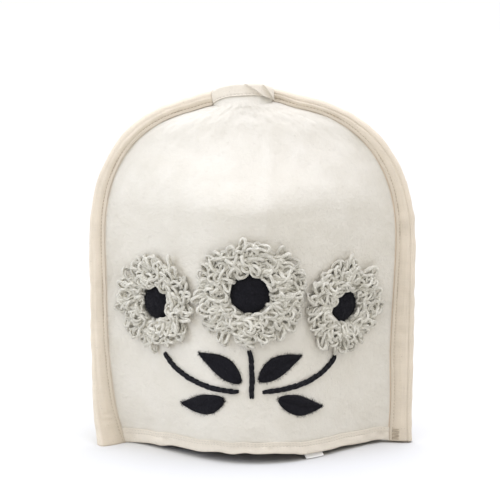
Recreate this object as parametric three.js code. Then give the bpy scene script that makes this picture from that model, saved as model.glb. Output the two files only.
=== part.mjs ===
// French press cosy: two arched felt panels seamed edge to edge, bound in folded calico tape, with a slot
// left open at the top and a spray of looped-yarn flowers sewn on the front.
// Millimetres, +Z up, the front faces -Y. The origin lies on the floor under the middle of the cosy.
import * as THREE from 'three';

// Outline of the seamed cosy seen from the front, to the outer edge of its binding
const HALF_WIDTH = 125.6;
const BASE_DRAW_IN = 2.4; // how far each side draws in at the hem
const SPRING_HEIGHT = 150; // where the straight sides turn into the arch
const ARCH_RISE = 124.6;
const ARCH_POWER = 2.5; // power of the superellipse that the arch follows
const ARCH_LEAN = -2.5; // sideways lean of the arch at its crown
const ARCH_STEPS = 48;
const WALL_SHARE = 0.5; // share of the seam's stations that lie below the arch
const BASE_MIDDLE = { x: 0, y: -3.5 }; // middle of the cosy's base, measured from its seam plane

// Slot at the top
const SLOT_CENTRE = -7.7;
const SLOT_LENGTH = 47;
const SLOT_OPENING = 7; // how far each lip stands away from the seam plane
const LIP_RISE = 6.3; // how far the lips arch up between the slot's ends
const LIP_ROWS = 2;
const PARTING_POWER = 2; // how late the panels part on their way up to the slot

// Felt and tape
const FELT = 3;
const SEAM_GAP = 0.8; // between the two panels inside the seam
const TAPE = 0.9;
const TAPE_CLEARANCE = 0.55;
const SLOT_CLEARANCE = 0.65; // the same at the slot, where the felt bends more
const EDGE_INSET = TAPE + TAPE_CLEARANCE; // from a binding's outer edge to the felt inside it
const SEAM_LEG_TIP = 2; // the seam binding's legs end this far outside the fold
const HEM_HEIGHT = 11;
const LIP_BINDING_HEIGHT = 8.5;
const LIP_BINDING_START = 3; // columns of the panel left free at each end of the slot
const TAPE_ROUNDING = 0.7;

// Panel bulge: (1 - r^2)^power of the depth, where r runs from 0 at the middle to 1 at the seam
// hemLift is the hem's rise at the middle, and the hem rests on the floor from the share restFrom outwards
const PANELS = {
  front: {
    face: -1, hemDepth: 71, shoulderDepth: 65.5, hemPower: 1.8, crownPower: 1.5, hemLift: 6.2, restFrom: 0.72,
  },
  back: {
    face: 1, hemDepth: 69, shoulderDepth: 64, hemPower: 1.7, crownPower: 1.5, hemLift: 3, restFrom: 0.62,
  },
};
const SHOULDER_HEIGHT = 190;
const CROWN_START = 190; // the bulge begins to fall back towards the slot here
const CROWN_RISE = 74; // from there up to the crown of the fold line
const CROWN_POWER = 1.875; // the lower, the sharper the shoulder bends
const LIFT_FADE = 60; // the hem's lift has died away at this height
const FOLD_FADE_POWER = 6; // how near the seams the front's soft dents and ridges die away
const PANEL_ROWS = 28;
const PANEL_COLUMNS = 24;
const COLUMN_CROWDING = 0.25; // columns crowd towards the seams

// Seam flange from the hem (along 0) to the slot (along 1): its width, and its turn forward in degrees
const FLANGE = [
  { along: 0, leftWidth: 22.5, leftTurn: 36, rightWidth: 18.4, rightTurn: 4 },
  { along: 0.1, leftWidth: 16.6, leftTurn: 19, rightWidth: 17.2, rightTurn: 8 },
  { along: 0.25, leftWidth: 13.7, leftTurn: 3, rightWidth: 17.4, rightTurn: 11 },
  { along: 0.45, leftWidth: 12.8, leftTurn: 0, rightWidth: 16.6, rightTurn: 12 },
  { along: 0.7, leftWidth: 11, leftTurn: 0, rightWidth: 12.6, rightTurn: 6 },
  { along: 0.88, leftWidth: 10.4, leftTurn: 0, rightWidth: 9.7, rightTurn: 1 },
  { along: 1, leftWidth: 10.6, leftTurn: 0, rightWidth: 9.8, rightTurn: 0 },
];

// Soft dents (push below 0) and ridges (push above 0) of the front panel, each a rounded patch
const FRONT_FOLDS = [
  { x: 13, height: 232, spreadX: 5, spreadZ: 26, push: 1.3 },
  { x: -8, height: 247, spreadX: 15, spreadZ: 8, push: -1.4 },
  { x: 58, height: 238, spreadX: 16, spreadZ: 10, push: -1.8 },
  { x: -60, height: 234, spreadX: 18, spreadZ: 10, push: -1.5 },
  { x: -32, height: 196, spreadX: 26, spreadZ: 6, push: 0.9 },
  { x: 40, height: 190, spreadX: 24, spreadZ: 6, push: -1 },
  { x: 22, height: 40, spreadX: 10, spreadZ: 26, push: -1.1 },
  { x: -46, height: 34, spreadX: 12, spreadZ: 20, push: -1 },
];

// Flower spray, in the front felt's own flat measure: across from the ridge, and height above the floor
const SEWN_GAP = 0.6; // from the felt to what is sewn on it
const BLOOMS = [
  { name: 'left', across: -81, height: 117, radius: 34.5, centreRadius: 12.5, loops: 20, turn: 0.4 },
  { name: 'middle', across: 0, height: 131, radius: 40, centreRadius: 15, loops: 23, turn: 0 },
  { name: 'right', across: 81, height: 115, radius: 34.5, centreRadius: 12.5, loops: 20, turn: 1.1 },
];
const BLOOM_STEPS_PER_LOOP = 3;
const BLOOM_RINGS = 3;
const BLOOM_RIM_HEIGHT = 3;
const BLOOM_CROWN_HEIGHT = 8;
const BLOOM_LUMP = 0.9;
const LUMP_WAVES = { round: 5, twist: 4, outward: 9, drift: 2 }; // of the two waves that make the lumps
const BLOOM_SECTION = { inner: 0.12, rim: 0.92 }; // shares of a half sine wave that its crown runs over
const BLOOM_SWAY = 0.04; // how far the rim wanders from a true circle
const SWAY_WAVES = 3;
const BLOOM_LOCK = 2.4; // how far the loops at the rim stand out
const CENTRE_HEIGHT = 4;
const CENTRE_RIM_HEIGHT = 1.8;
const CENTRE_STEPS = 24;
const CENTRE_RINGS = 2;
const CENTRE_CLEARANCE = 0.8; // between a felt centre and the loops round it
const STEM_WIDTH = 4;
const STEM_HEIGHT = 2;
const STEM_STEPS = 12;
const STEM_EDGE_DROP = 0.5; // share of its height that a stem loses at its edges
const STEMS = [
  { name: 'left', from: [-74, 79], bend: [-60, 58], to: [-9, 56] },
  { name: 'middle', from: [0, 88], bend: [3, 74], to: [0, 51] },
  { name: 'right', from: [75, 77], bend: [60, 57], to: [9, 56] },
];
const LEAF_HEIGHT = 2.4;
const LEAF_STEPS = 9;
const LEAF_COLUMNS = 3;
const LEAF_HEEL = 0.06; // shares of a half sine wave that a leaf's edge runs over
const LEAF_TIP = 0.97;
const LEAF_SKEW = 0.8; // below 1 the leaf is widest before its middle
const LEAVES = [
  { name: 'left_upper', from: [-7, 64], to: [-40, 83], width: 16 },
  { name: 'left_lower', from: [-21, 49], to: [-61, 41], width: 16 },
  { name: 'right_upper', from: [7, 65], to: [41, 81], width: 16 },
  { name: 'right_lower', from: [21, 49], to: [59, 39], width: 16 },
];

// Blank tab caught in the front hem
const TAB = { across: 51.5, width: 17, thickness: 0.8, clearance: 0.9, bottom: 0.9, top: 13, steps: 4 };

const FRONTWARD = new THREE.Vector3(0, -1, 0);
const UPWARD = new THREE.Vector3(0, 0, 1);
const { lerp, degToRad, clamp } = THREE.MathUtils;

// Smooth value of a column at a place, by cubic pieces through the table's rows
function valueAt(rows, key, column, place) {
  const last = rows.length - 1;
  const at = clamp(place, rows[0][key], rows[last][key]);
  const i = clamp(rows.findIndex((row) => row[key] > at) - 1, 0, last - 1);
  const low = at >= rows[last][key] ? last - 1 : i;
  const slope = (k) => {
    const before = rows[Math.max(k - 1, 0)];
    const after = rows[Math.min(k + 1, last)];
    return (after[column] - before[column]) / (after[key] - before[key]);
  };
  const span = rows[low + 1][key] - rows[low][key];
  const u = (at - rows[low][key]) / span;
  const start = (1 + 2 * u) * (1 - u) ** 2 * rows[low][column] + u * (1 - u) ** 2 * span * slope(low);
  const end = u * u * (3 - 2 * u) * rows[low + 1][column] + u * u * (u - 1) * span * slope(low + 1);
  return start + end;
}

// The arch of one side (-1 left, 1 right) from the spring to the slot's end, on a superellipse
function archCurve(side) {
  const reach = Math.abs(SLOT_CENTRE + (side * SLOT_LENGTH) / 2 - ARCH_LEAN);
  const endAngle = Math.acos((reach / HALF_WIDTH) ** (ARCH_POWER / 2));
  const points = [];
  for (let k = 0; k <= ARCH_STEPS; k += 1) {
    const angle = (endAngle * k) / ARCH_STEPS;
    const up = Math.sin(angle) ** (2 / ARCH_POWER);
    const out = Math.cos(angle) ** (2 / ARCH_POWER);
    const x = side * HALF_WIDTH * out + ARCH_LEAN * up * up;
    points.push(new THREE.Vector2(x, SPRING_HEIGHT + ARCH_RISE * up));
  }
  return new THREE.SplineCurve(points);
}

const SIDES = {
  left: { sign: -1, arch: archCurve(-1) },
  right: { sign: 1, arch: archCurve(1) },
};

// Outer edge of the cosy and its direction, at a share of the way from the hem to the slot
function outlineAt(side, along) {
  const { sign, arch } = SIDES[side];
  if (along >= WALL_SHARE) {
    const share = Math.min((along - WALL_SHARE) / (1 - WALL_SHARE), 1);
    return { edge: arch.getPointAt(share), direction: arch.getTangentAt(share) };
  }
  const below = 1 - along / WALL_SHARE;
  const x = sign * (HALF_WIDTH - BASE_DRAW_IN * below ** 2);
  return { edge: new THREE.Vector2(x, SPRING_HEIGHT * (1 - below)), direction: new THREE.Vector2(0, 1) };
}

// One station of a seam: the fold where flange and panel meet, and the flange's ways across and through
function seamStation(side, along) {
  const { sign } = SIDES[side];
  const { edge, direction } = outlineAt(side, along);
  const outward = new THREE.Vector3(sign * direction.y, 0, -sign * direction.x);
  const width = valueAt(FLANGE, 'along', `${side}Width`, along);
  const turn = degToRad(valueAt(FLANGE, 'along', `${side}Turn`, along));
  const fold = new THREE.Vector3(edge.x, 0, edge.y).addScaledVector(outward, -width);
  const [sine, cosine] = [Math.sin(turn), Math.cos(turn)];
  const across = outward.clone().multiplyScalar(cosine).addScaledVector(FRONTWARD, sine);
  const through = outward.clone().multiplyScalar(sine).addScaledVector(FRONTWARD, -cosine);
  return { fold, across, through, width };
}

// Point of a flange, a distance outside the fold and a height through the seam (below 0 towards the front)
function flangePoint(station, distance, height) {
  const { fold, across, through } = station;
  return fold.clone().addScaledVector(across, distance).addScaledVector(through, height);
}

const OUTER_FACE = SEAM_GAP / 2 + FELT; // from the seam plane to a panel's outer face

// How far the hem is lifted at q, where q runs from -1 at the left fold to 1 at the right one
function hemLift(panel, q) {
  return panel.hemLift * (1 - Math.min(Math.abs(q) / panel.restFrom, 1) ** 3);
}

// Point of a panel's outer face at a row between the seams, share 0 at the left fold to 1 at the right
function panelPoint(panel, along, share) {
  const { face } = panel;
  const left = flangePoint(seamStation('left', along), 0, face * OUTER_FACE);
  const right = flangePoint(seamStation('right', along), 0, face * OUTER_FACE);
  const point = left.clone().lerp(right, share);
  const q = 2 * share - 1;
  const crown = clamp((point.z - CROWN_START) / CROWN_RISE, 0, 1) ** CROWN_POWER;
  const r = (crown + (1 - crown) * Math.abs(q) ** ARCH_POWER) ** (1 / ARCH_POWER);
  const rise = clamp(point.z / SHOULDER_HEIGHT, 0, 1);
  const depth = lerp(panel.hemDepth, panel.shoulderDepth, rise) - OUTER_FACE;
  const power = lerp(panel.hemPower, panel.crownPower, rise);
  const parting = SLOT_OPENING * crown ** PARTING_POWER * (1 - q * q);
  let bulge = depth * Math.max(1 - r * r, 0) ** power + parting;
  if (panel === PANELS.front) {
    const fade = 1 - q ** FOLD_FADE_POWER;
    for (const fold of FRONT_FOLDS) {
      const dx = (point.x - fold.x) / fold.spreadX;
      const dz = (point.z - fold.height) / fold.spreadZ;
      bulge += fade * fold.push * Math.exp(-dx * dx - dz * dz);
    }
  }
  point.y += face * bulge;
  point.z += hemLift(panel, q) * Math.max(1 - point.z / LIFT_FADE, 0) ** 2;
  return point;
}

// Share of the way along the seam that lies at a height, in the part below the arch's haunches
function alongAt(height) {
  if (height <= SPRING_HEIGHT) return (WALL_SHARE * height) / SPRING_HEIGHT;
  const archLength = (SIDES.left.arch.getLength() + SIDES.right.arch.getLength()) / 2;
  return WALL_SHARE + ((1 - WALL_SHARE) * (height - SPRING_HEIGHT)) / archLength;
}

// Place of a panel's row along the seam, from just above the hem to the slot's end
function rowAlong(row) {
  return lerp(alongAt(EDGE_INSET), 1, row / PANEL_ROWS);
}

// Shares of a row at which the panels have their columns
function columnShare(column) {
  const u = column / PANEL_COLUMNS;
  return u - (COLUMN_CROWDING * Math.sin(2 * Math.PI * u)) / (2 * Math.PI);
}

// A closed mesh from triangles, turned so that its faces point out
function solid(name, points, triangles, material) {
  let volume = 0;
  for (const [a, b, c] of triangles) volume += points[a].dot(points[b].clone().cross(points[c]));
  const facing = volume < 0 ? triangles.map(([a, b, c]) => [a, c, b]) : triangles;
  const geometry = new THREE.BufferGeometry().setFromPoints(points);
  geometry.setIndex(facing.flat());
  geometry.computeVertexNormals();
  const mesh = new THREE.Mesh(geometry, material);
  mesh.name = name;
  return mesh;
}

// Two facing surfaces with the same triangles, closed along their common boundary
function closedPair(name, top, base, triangles, material) {
  const count = top.length;
  const used = new Map();
  for (const [a, b, c] of triangles) {
    for (const [p, q] of [[a, b], [b, c], [c, a]]) used.set(`${p},${q}`, [p, q]);
  }
  const all = [...triangles, ...triangles.map(([a, b, c]) => [a + count, c + count, b + count])];
  for (const [p, q] of used.values()) {
    if (!used.has(`${q},${p}`)) all.push([q, p, p + count], [q, p + count, q + count]);
  }
  return solid(name, [...top, ...base], all, material);
}

// Smooth normals of an open surface at its points
function surfaceNormals(points, triangles) {
  const geometry = new THREE.BufferGeometry().setFromPoints(points);
  geometry.setIndex(triangles.flat());
  geometry.computeVertexNormals();
  const normals = geometry.getAttribute('normal');
  return points.map((_, i) => new THREE.Vector3().fromBufferAttribute(normals, i));
}

// Two triangles for each cell of a grid given by its rows of point numbers
function gridTriangles(rows) {
  const triangles = [];
  for (let i = 0; i + 1 < rows.length; i += 1) {
    for (let j = 0; j + 1 < rows[i].length; j += 1) {
      const [a, b] = [rows[i][j], rows[i][j + 1]];
      const [d, c] = [rows[i + 1][j], rows[i + 1][j + 1]];
      triangles.push([a, b, c], [a, c, d]);
    }
  }
  return triangles;
}

// A band between closed rings of points, capped at both ends with the ring's own flat shape
function sweptBand(name, rings, section, material) {
  const size = section.length;
  const points = rings.flat();
  const rows = rings.map((ring, i) => [...ring.keys(), 0].map((k) => i * size + k));
  const outline = section.map(([x, y]) => new THREE.Vector2(x, y));
  if (THREE.ShapeUtils.isClockWise(outline)) throw new Error(`${name}: its section runs clockwise`);
  const cap = THREE.ShapeUtils.triangulateShape(outline, []);
  const end = (rings.length - 1) * size;
  const startCap = cap.map(([a, b, c]) => [a, c, b]);
  const endCap = cap.map((corners) => corners.map((k) => k + end));
  return solid(name, points, [...gridTriangles(rows), ...startCap, ...endCap], material);
}

const felt = new THREE.MeshStandardMaterial({ color: 0xebe7dd, roughness: 0.95, metalness: 0 });
const calico = new THREE.MeshStandardMaterial({ color: 0xdccfbb, roughness: 0.9, metalness: 0 });
const yarn = new THREE.MeshStandardMaterial({ color: 0xc5c1b5, roughness: 0.95, metalness: 0 });
const blackFelt = new THREE.MeshStandardMaterial({ color: 0x19181d, roughness: 0.95, metalness: 0 });
const whiteTape = new THREE.MeshStandardMaterial({ color: 0xefece6, roughness: 0.85, metalness: 0 });

// A panel is a grid from its hem to the slot's ends, with its flanges beside it and a lip above it
function feltPanel(name, panel) {
  const points = [];
  const add = (point) => points.push(point) - 1;
  const outer = panel.face * OUTER_FACE;
  const rows = [];
  for (let i = 0; i <= PANEL_ROWS; i += 1) {
    const along = rowAlong(i);
    const left = seamStation('left', along);
    const right = seamStation('right', along);
    const flangeStep = (station, share) =>
      flangePoint(station, (station.width - EDGE_INSET) * share, outer);
    const row = [];
    for (let k = LIP_ROWS; k > 0; k -= 1) row.push(add(flangeStep(left, k / LIP_ROWS)));
    for (let j = 0; j <= PANEL_COLUMNS; j += 1) row.push(add(panelPoint(panel, along, columnShare(j))));
    for (let k = 1; k <= LIP_ROWS; k += 1) row.push(add(flangeStep(right, k / LIP_ROWS)));
    rows.push(row);
  }
  const top = rows[PANEL_ROWS];
  const lip = [top.slice(LIP_ROWS, LIP_ROWS + PANEL_COLUMNS + 1)];
  for (let k = 1; k <= LIP_ROWS; k += 1) {
    const row = [top[LIP_ROWS - k]];
    for (let j = 1; j < PANEL_COLUMNS; j += 1) row.push(add(lipPoint(panel, columnShare(j), k / LIP_ROWS)));
    row.push(top[LIP_ROWS + PANEL_COLUMNS + k]);
    lip.push(row);
  }
  const triangles = [...gridTriangles(rows), ...gridTriangles(lip)];
  const sense = panel.face < 0 ? 1 : -1;
  const normals = surfaceNormals(points, triangles);
  const inner = points.map((point, i) => point.clone().addScaledVector(normals[i], -sense * FELT));
  return closedPair(name, points, inner, triangles, felt);
}

// Point of a lip's outer face at a share across the slot and a share of the way up to its edge
function lipPoint(panel, share, up) {
  const left = seamStation('left', 1);
  const right = seamStation('right', 1);
  const outer = panel.face * OUTER_FACE;
  const leftEnd = flangePoint(left, (left.width - EDGE_INSET) * up, outer);
  const rightEnd = flangePoint(right, (right.width - EDGE_INSET) * up, outer);
  const point = leftEnd.lerp(rightEnd, share);
  const q = 2 * share - 1;
  const base = panelPoint(panel, 1, share);
  point.y = lerp(base.y, point.y + panel.face * SLOT_OPENING * (1 - q * q), up);
  point.z += LIP_RISE * up * (1 - q * q);
  return point;
}

// U-shaped binding over both panels' edges, from the floor to the slot's end
function seamBinding(name, side) {
  const inside = OUTER_FACE + TAPE_CLEARANCE;
  const outside = inside + TAPE;
  const ringAt = (along) => {
    const station = seamStation(side, along);
    const edge = station.width;
    const section = [
      [SEAM_LEG_TIP, -outside],
      [edge - TAPE_ROUNDING, -outside],
      [edge, TAPE_ROUNDING - outside],
      [edge, outside - TAPE_ROUNDING],
      [edge - TAPE_ROUNDING, outside],
      [SEAM_LEG_TIP, outside],
      [SEAM_LEG_TIP, inside],
      [edge - TAPE, inside],
      [edge - TAPE, -inside],
      [SEAM_LEG_TIP, -inside],
    ];
    return { section, ring: section.map(([distance, height]) => flangePoint(station, distance, height)) };
  };
  const rings = [ringAt(0).ring];
  for (let i = 1; i <= PANEL_ROWS; i += 1) rings.push(ringAt(rowAlong(i)).ring);
  return sweptBand(name, rings, ringAt(0).section, calico);
}

// U-shaped binding on a panel's free edge: places give the felt's outer face at its edge and the legs' ends
function edgeBinding(name, places, face, upward, height, clear) {
  const inset = TAPE + clear;
  const section = [
    [clear, height],
    [clear, TAPE],
    [-FELT - clear, TAPE],
    [-FELT - clear, height],
    [-FELT - clear - TAPE, height],
    [-FELT - clear - TAPE, TAPE_ROUNDING],
    [-FELT - clear - TAPE + TAPE_ROUNDING, 0],
    [clear + TAPE - TAPE_ROUNDING, 0],
    [clear + TAPE, TAPE_ROUNDING],
    [clear + TAPE, height],
  ];
  const rings = places.map((place, i) => {
    const before = places[Math.max(i - 1, 0)].edge;
    const after = places[Math.min(i + 1, places.length - 1)].edge;
    const run = after.clone().sub(before).setZ(0).normalize();
    const outward = new THREE.Vector3(-face * run.y, face * run.x, 0);
    return section.map(([out, rise]) => {
      const legShare = Math.max((rise - inset) / (height - inset), 0);
      const point = place.edge.clone().lerp(place.foot, legShare).addScaledVector(outward, out);
      point.z += upward * Math.min(rise - inset, 0);
      return point;
    });
  });
  return sweptBand(name, rings, section, calico);
}

// Binding of a panel's lower edge, with its underside flat on the floor where the hem isn't lifted
function hemBinding(name, panel) {
  const places = [];
  for (let j = 1; j < PANEL_COLUMNS; j += 1) {
    const edge = panelPoint(panel, alongAt(EDGE_INSET), columnShare(j));
    const foot = panelPoint(panel, alongAt(HEM_HEIGHT), columnShare(j));
    places.push({ edge, foot });
  }
  return edgeBinding(name, places, panel.face, 1, HEM_HEIGHT, TAPE_CLEARANCE);
}

// Binding of a lip's upper edge, between the ends of the two seam bindings
function slotBinding(name, panel) {
  const endHeight = valueAt(FLANGE, 'along', 'leftWidth', 1) - EDGE_INSET;
  const places = [];
  for (let j = LIP_BINDING_START; j <= PANEL_COLUMNS - LIP_BINDING_START; j += 1) {
    const share = columnShare(j);
    const lipHeight = endHeight + LIP_RISE * (1 - (2 * share - 1) ** 2);
    const footUp = 1 - (LIP_BINDING_HEIGHT - EDGE_INSET) / lipHeight;
    places.push({ edge: lipPoint(panel, share, 1), foot: lipPoint(panel, share, footUp) });
  }
  return edgeBinding(name, places, panel.face, -1, LIP_BINDING_HEIGHT, SLOT_CLEARANCE);
}

// Front felt's rows by height, each with its distance across from the ridge
const ROW_SAMPLES = 120;
const SLOPE_STEP = 1.5; // half the distance over which the felt's slope is taken
const frontRows = new Map();
function frontRow(height) {
  if (!frontRows.has(height)) {
    const along = alongAt(height);
    const across = [0];
    let before = panelPoint(PANELS.front, along, 0);
    for (let k = 1; k <= ROW_SAMPLES; k += 1) {
      const point = panelPoint(PANELS.front, along, k / ROW_SAMPLES);
      across.push(across[k - 1] + point.distanceTo(before));
      before = point;
    }
    const middle = across[ROW_SAMPLES / 2];
    frontRows.set(height, { along, across: across.map((a) => a - middle) });
  }
  return frontRows.get(height);
}

// Point of the front felt's outer face, by distance across from the ridge and height
function frontSurface(across, height) {
  const row = frontRow(height);
  const next = clamp(row.across.findIndex((a) => a > across), 1, ROW_SAMPLES);
  const part = (across - row.across[next - 1]) / (row.across[next] - row.across[next - 1]);
  return panelPoint(PANELS.front, row.along, (next - 1 + part) / ROW_SAMPLES);
}

// Point standing a given height off the front felt
function onFront(across, height, off) {
  const run = frontSurface(across + SLOPE_STEP, height).sub(frontSurface(across - SLOPE_STEP, height));
  const rise = frontSurface(across, height + SLOPE_STEP).sub(frontSurface(across, height - SLOPE_STEP));
  return frontSurface(across, height).addScaledVector(run.cross(rise).normalize(), off);
}

// A low slab sewn on the front: flat places, each with the height of its top, and their triangles
function sewnSlab(name, places, triangles, material) {
  const base = places.map(({ across, height }) => onFront(across, height, SEWN_GAP));
  const top = places.map(({ across, height, rise }) => onFront(across, height, SEWN_GAP + rise));
  return closedPair(name, top, base, triangles, material);
}

// Place at an angle and distance from a flower's middle, with the height of its top there
function roundPlace(flower, angle, r, rise) {
  return { across: flower.across + r * Math.cos(angle), height: flower.height + r * Math.sin(angle), rise };
}

// Looped-yarn bloom: a lumpy ring round its felt centre, with loops standing out along its rim
function bloom(flower) {
  const { name, radius, centreRadius, loops, turn } = flower;
  const places = [];
  const rows = [];
  const steps = loops * BLOOM_STEPS_PER_LOOP;
  const inner = centreRadius + CENTRE_CLEARANCE;
  for (let i = 0; i <= BLOOM_RINGS; i += 1) {
    const t = i / BLOOM_RINGS;
    const row = [];
    for (let k = 0; k < steps; k += 1) {
      const angle = (2 * Math.PI * k) / steps + turn;
      const lock = BLOOM_LOCK * Math.abs(Math.sin((loops * (angle - turn)) / 2)) * t ** 3;
      const sway = 1 + BLOOM_SWAY * t * Math.sin(SWAY_WAVES * angle + turn);
      const r = lerp(inner, radius * sway - BLOOM_LOCK, t) + lock;
      const roundWave = Math.sin(LUMP_WAVES.round * angle + LUMP_WAVES.twist * t);
      const lump = BLOOM_LUMP * roundWave * Math.sin(LUMP_WAVES.outward * t + LUMP_WAVES.drift * angle);
      const dome = Math.sin(Math.PI * lerp(BLOOM_SECTION.inner, BLOOM_SECTION.rim, t));
      const rise = lerp(BLOOM_RIM_HEIGHT, BLOOM_CROWN_HEIGHT, dome) + lump;
      row.push(places.push(roundPlace(flower, angle, r, rise)) - 1);
    }
    rows.push([...row, row[0]]);
  }
  return sewnSlab(`bloom_${name}`, places, gridTriangles(rows), yarn);
}

// Domed black felt centre of a bloom
function bloomCentre(flower) {
  const places = [roundPlace(flower, 0, 0, CENTRE_HEIGHT)];
  const triangles = [];
  let before = null;
  for (let i = 1; i <= CENTRE_RINGS; i += 1) {
    const t = i / CENTRE_RINGS;
    const row = [];
    for (let k = 0; k < CENTRE_STEPS; k += 1) {
      const angle = (2 * Math.PI * k) / CENTRE_STEPS;
      const rise = lerp(CENTRE_HEIGHT, CENTRE_RIM_HEIGHT, t * t);
      row.push(places.push(roundPlace(flower, angle, flower.centreRadius * t, rise)) - 1);
    }
    row.push(row[0]);
    if (before) triangles.push(...gridTriangles([before, row]));
    else for (let k = 0; k < CENTRE_STEPS; k += 1) triangles.push([0, row[k + 1], row[k]]);
    before = row;
  }
  return sewnSlab(`felt_centre_${flower.name}`, places, triangles, blackFelt);
}

// Grid of places along a flat curve, with the half width given at each share of its length
function alongCurve(curve, steps, columns, halfWidth, riseAt) {
  const places = [];
  const rows = [];
  for (let i = 0; i <= steps; i += 1) {
    const share = i / steps;
    const middle = curve.getPointAt(share);
    const heading = curve.getTangentAt(share);
    const row = [];
    for (let j = 0; j <= columns; j += 1) {
      const side = (2 * j) / columns - 1;
      const reach = side * halfWidth(share);
      const across = middle.x - heading.y * reach;
      const height = middle.y + heading.x * reach;
      row.push(places.push({ across, height, rise: riseAt(share, side) }) - 1);
    }
    rows.push(row);
  }
  return { places, triangles: gridTriangles(rows) };
}

// Stitched black stem, a rounded rib that bends down to the foot of the spray
function stem({ name, from, bend, to }) {
  const curve = new THREE.QuadraticBezierCurve(
    new THREE.Vector2(...from), new THREE.Vector2(...bend), new THREE.Vector2(...to));
  const rib = (share, side) => STEM_HEIGHT * (1 - STEM_EDGE_DROP * side * side);
  const { places, triangles } = alongCurve(curve, STEM_STEPS, 2, () => STEM_WIDTH / 2, rib);
  return sewnSlab(`stem_${name}`, places, triangles, blackFelt);
}

// Black felt leaf, widest a little before its middle
function leaf({ name, from, to, width }) {
  const curve = new THREE.LineCurve(new THREE.Vector2(...from), new THREE.Vector2(...to));
  const halfWidth = (share) =>
    (width / 2) * Math.sin(Math.PI * lerp(LEAF_HEEL, LEAF_TIP, share ** LEAF_SKEW));
  const { places, triangles } = alongCurve(curve, LEAF_STEPS, LEAF_COLUMNS, halfWidth, () => LEAF_HEIGHT);
  return sewnSlab(`leaf_${name}`, places, triangles, blackFelt);
}

// Blank tab hanging just below the hem, sewn to the inside of its binding
function hemTab() {
  const behind = FELT + EDGE_INSET + TAB.clearance;
  const middle = frontSurface(TAB.across, EDGE_INSET);
  const before = frontSurface(TAB.across - TAB.width / 2, EDGE_INSET);
  const after = frontSurface(TAB.across + TAB.width / 2, EDGE_INSET);
  const run = after.sub(before).setZ(0).normalize();
  const inward = new THREE.Vector3(-run.y, run.x, 0);
  const section = [[0, TAB.bottom], [TAB.thickness, TAB.bottom], [TAB.thickness, TAB.top], [0, TAB.top]];
  const rings = [];
  for (let i = 0; i <= TAB.steps; i += 1) {
    const place = middle.clone().addScaledVector(run, TAB.width * (i / TAB.steps - 0.5)).setZ(0);
    rings.push(section.map(([depth, height]) => place.clone()
      .addScaledVector(inward, behind + depth)
      .addScaledVector(UPWARD, height)));
  }
  return sweptBand('hem_tab', rings, section, whiteTape);
}

const cosy = new THREE.Group();
cosy.add(feltPanel('front_panel', PANELS.front));
cosy.add(feltPanel('back_panel', PANELS.back));
cosy.add(seamBinding('seam_binding_left', 'left'));
cosy.add(seamBinding('seam_binding_right', 'right'));
for (const [name, panel] of Object.entries(PANELS)) {
  cosy.add(hemBinding(`hem_binding_${name}`, panel));
  cosy.add(slotBinding(`slot_binding_${name}`, panel));
}
for (const row of BLOOMS) cosy.add(bloom(row), bloomCentre(row));
for (const row of STEMS) cosy.add(stem(row));
for (const row of LEAVES) cosy.add(leaf(row));
cosy.add(hemTab());
cosy.position.set(-BASE_MIDDLE.x, -BASE_MIDDLE.y, 0);

const part = new THREE.Group();
part.add(cosy);
export default part;
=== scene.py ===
"""French press cosy: felt panels, calico bindings and looped-yarn flowers, worked out as numpy surfaces.

Metres, +Z up, the front faces -Y. Every surface is a function of two parameters, or a profile carried
along a path, and each function's docstring gives its formula in words.
"""
import math
from collections import namedtuple
from functools import lru_cache

import bpy
import numpy as np
from bpy.props import FloatProperty, FloatVectorProperty, IntProperty, PointerProperty
from mathutils import Matrix, Vector


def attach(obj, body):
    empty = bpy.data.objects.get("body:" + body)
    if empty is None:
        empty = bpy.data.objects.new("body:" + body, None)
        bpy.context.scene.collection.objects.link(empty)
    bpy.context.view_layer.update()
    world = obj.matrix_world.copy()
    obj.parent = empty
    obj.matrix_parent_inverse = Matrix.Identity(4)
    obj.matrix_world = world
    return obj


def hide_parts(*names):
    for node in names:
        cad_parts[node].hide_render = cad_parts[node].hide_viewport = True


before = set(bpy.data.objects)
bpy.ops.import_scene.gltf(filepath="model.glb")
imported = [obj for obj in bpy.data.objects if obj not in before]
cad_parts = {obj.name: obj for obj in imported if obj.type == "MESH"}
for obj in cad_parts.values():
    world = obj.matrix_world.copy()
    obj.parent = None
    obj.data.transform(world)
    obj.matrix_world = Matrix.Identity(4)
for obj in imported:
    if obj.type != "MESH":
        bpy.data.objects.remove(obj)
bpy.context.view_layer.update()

bl_info = {
    "name": "French Press Cosy",
    "version": (1, 0, 0),
    "blender": (4, 5, 0),
    "location": "3D View > Sidebar > Cosy",
    "description": "Builds a felt cosy with calico bindings and looped-yarn flowers round its packed solids",
    "category": "Add Mesh",
}

# Where the cosy stands
SEAM_PLANE = 0.0035  # the seam lies this far behind the origin
FRONTWARD = np.array([0.0, -1.0, 0.0])
UPWARD = np.array([0.0, 0.0, 1.0])
LEVEL = np.array([1.0, 1.0, 0.0])  # times a vector, it leaves the level part
SIGNS = {"left": -1, "right": 1}

# Outline
ARCH_POWER = 2.5  # power of the superellipse that the arch follows
ARCH_LEAN = -0.0025  # sideways lean of the arch at its crown
ARCH_SAMPLES = 4000
WALL_SHARE = 0.5  # share of the seam's stations that lie below the arch
FOOT_LIFT = {"left": 0.0, "right": 0.0016}  # how far each seam's foot stands off the floor
FOOT_FLARE = {"left": 0.0, "right": 0.0016}  # how far it flares out
FOOT_REACH = 0.03  # both have died away at this height

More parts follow.
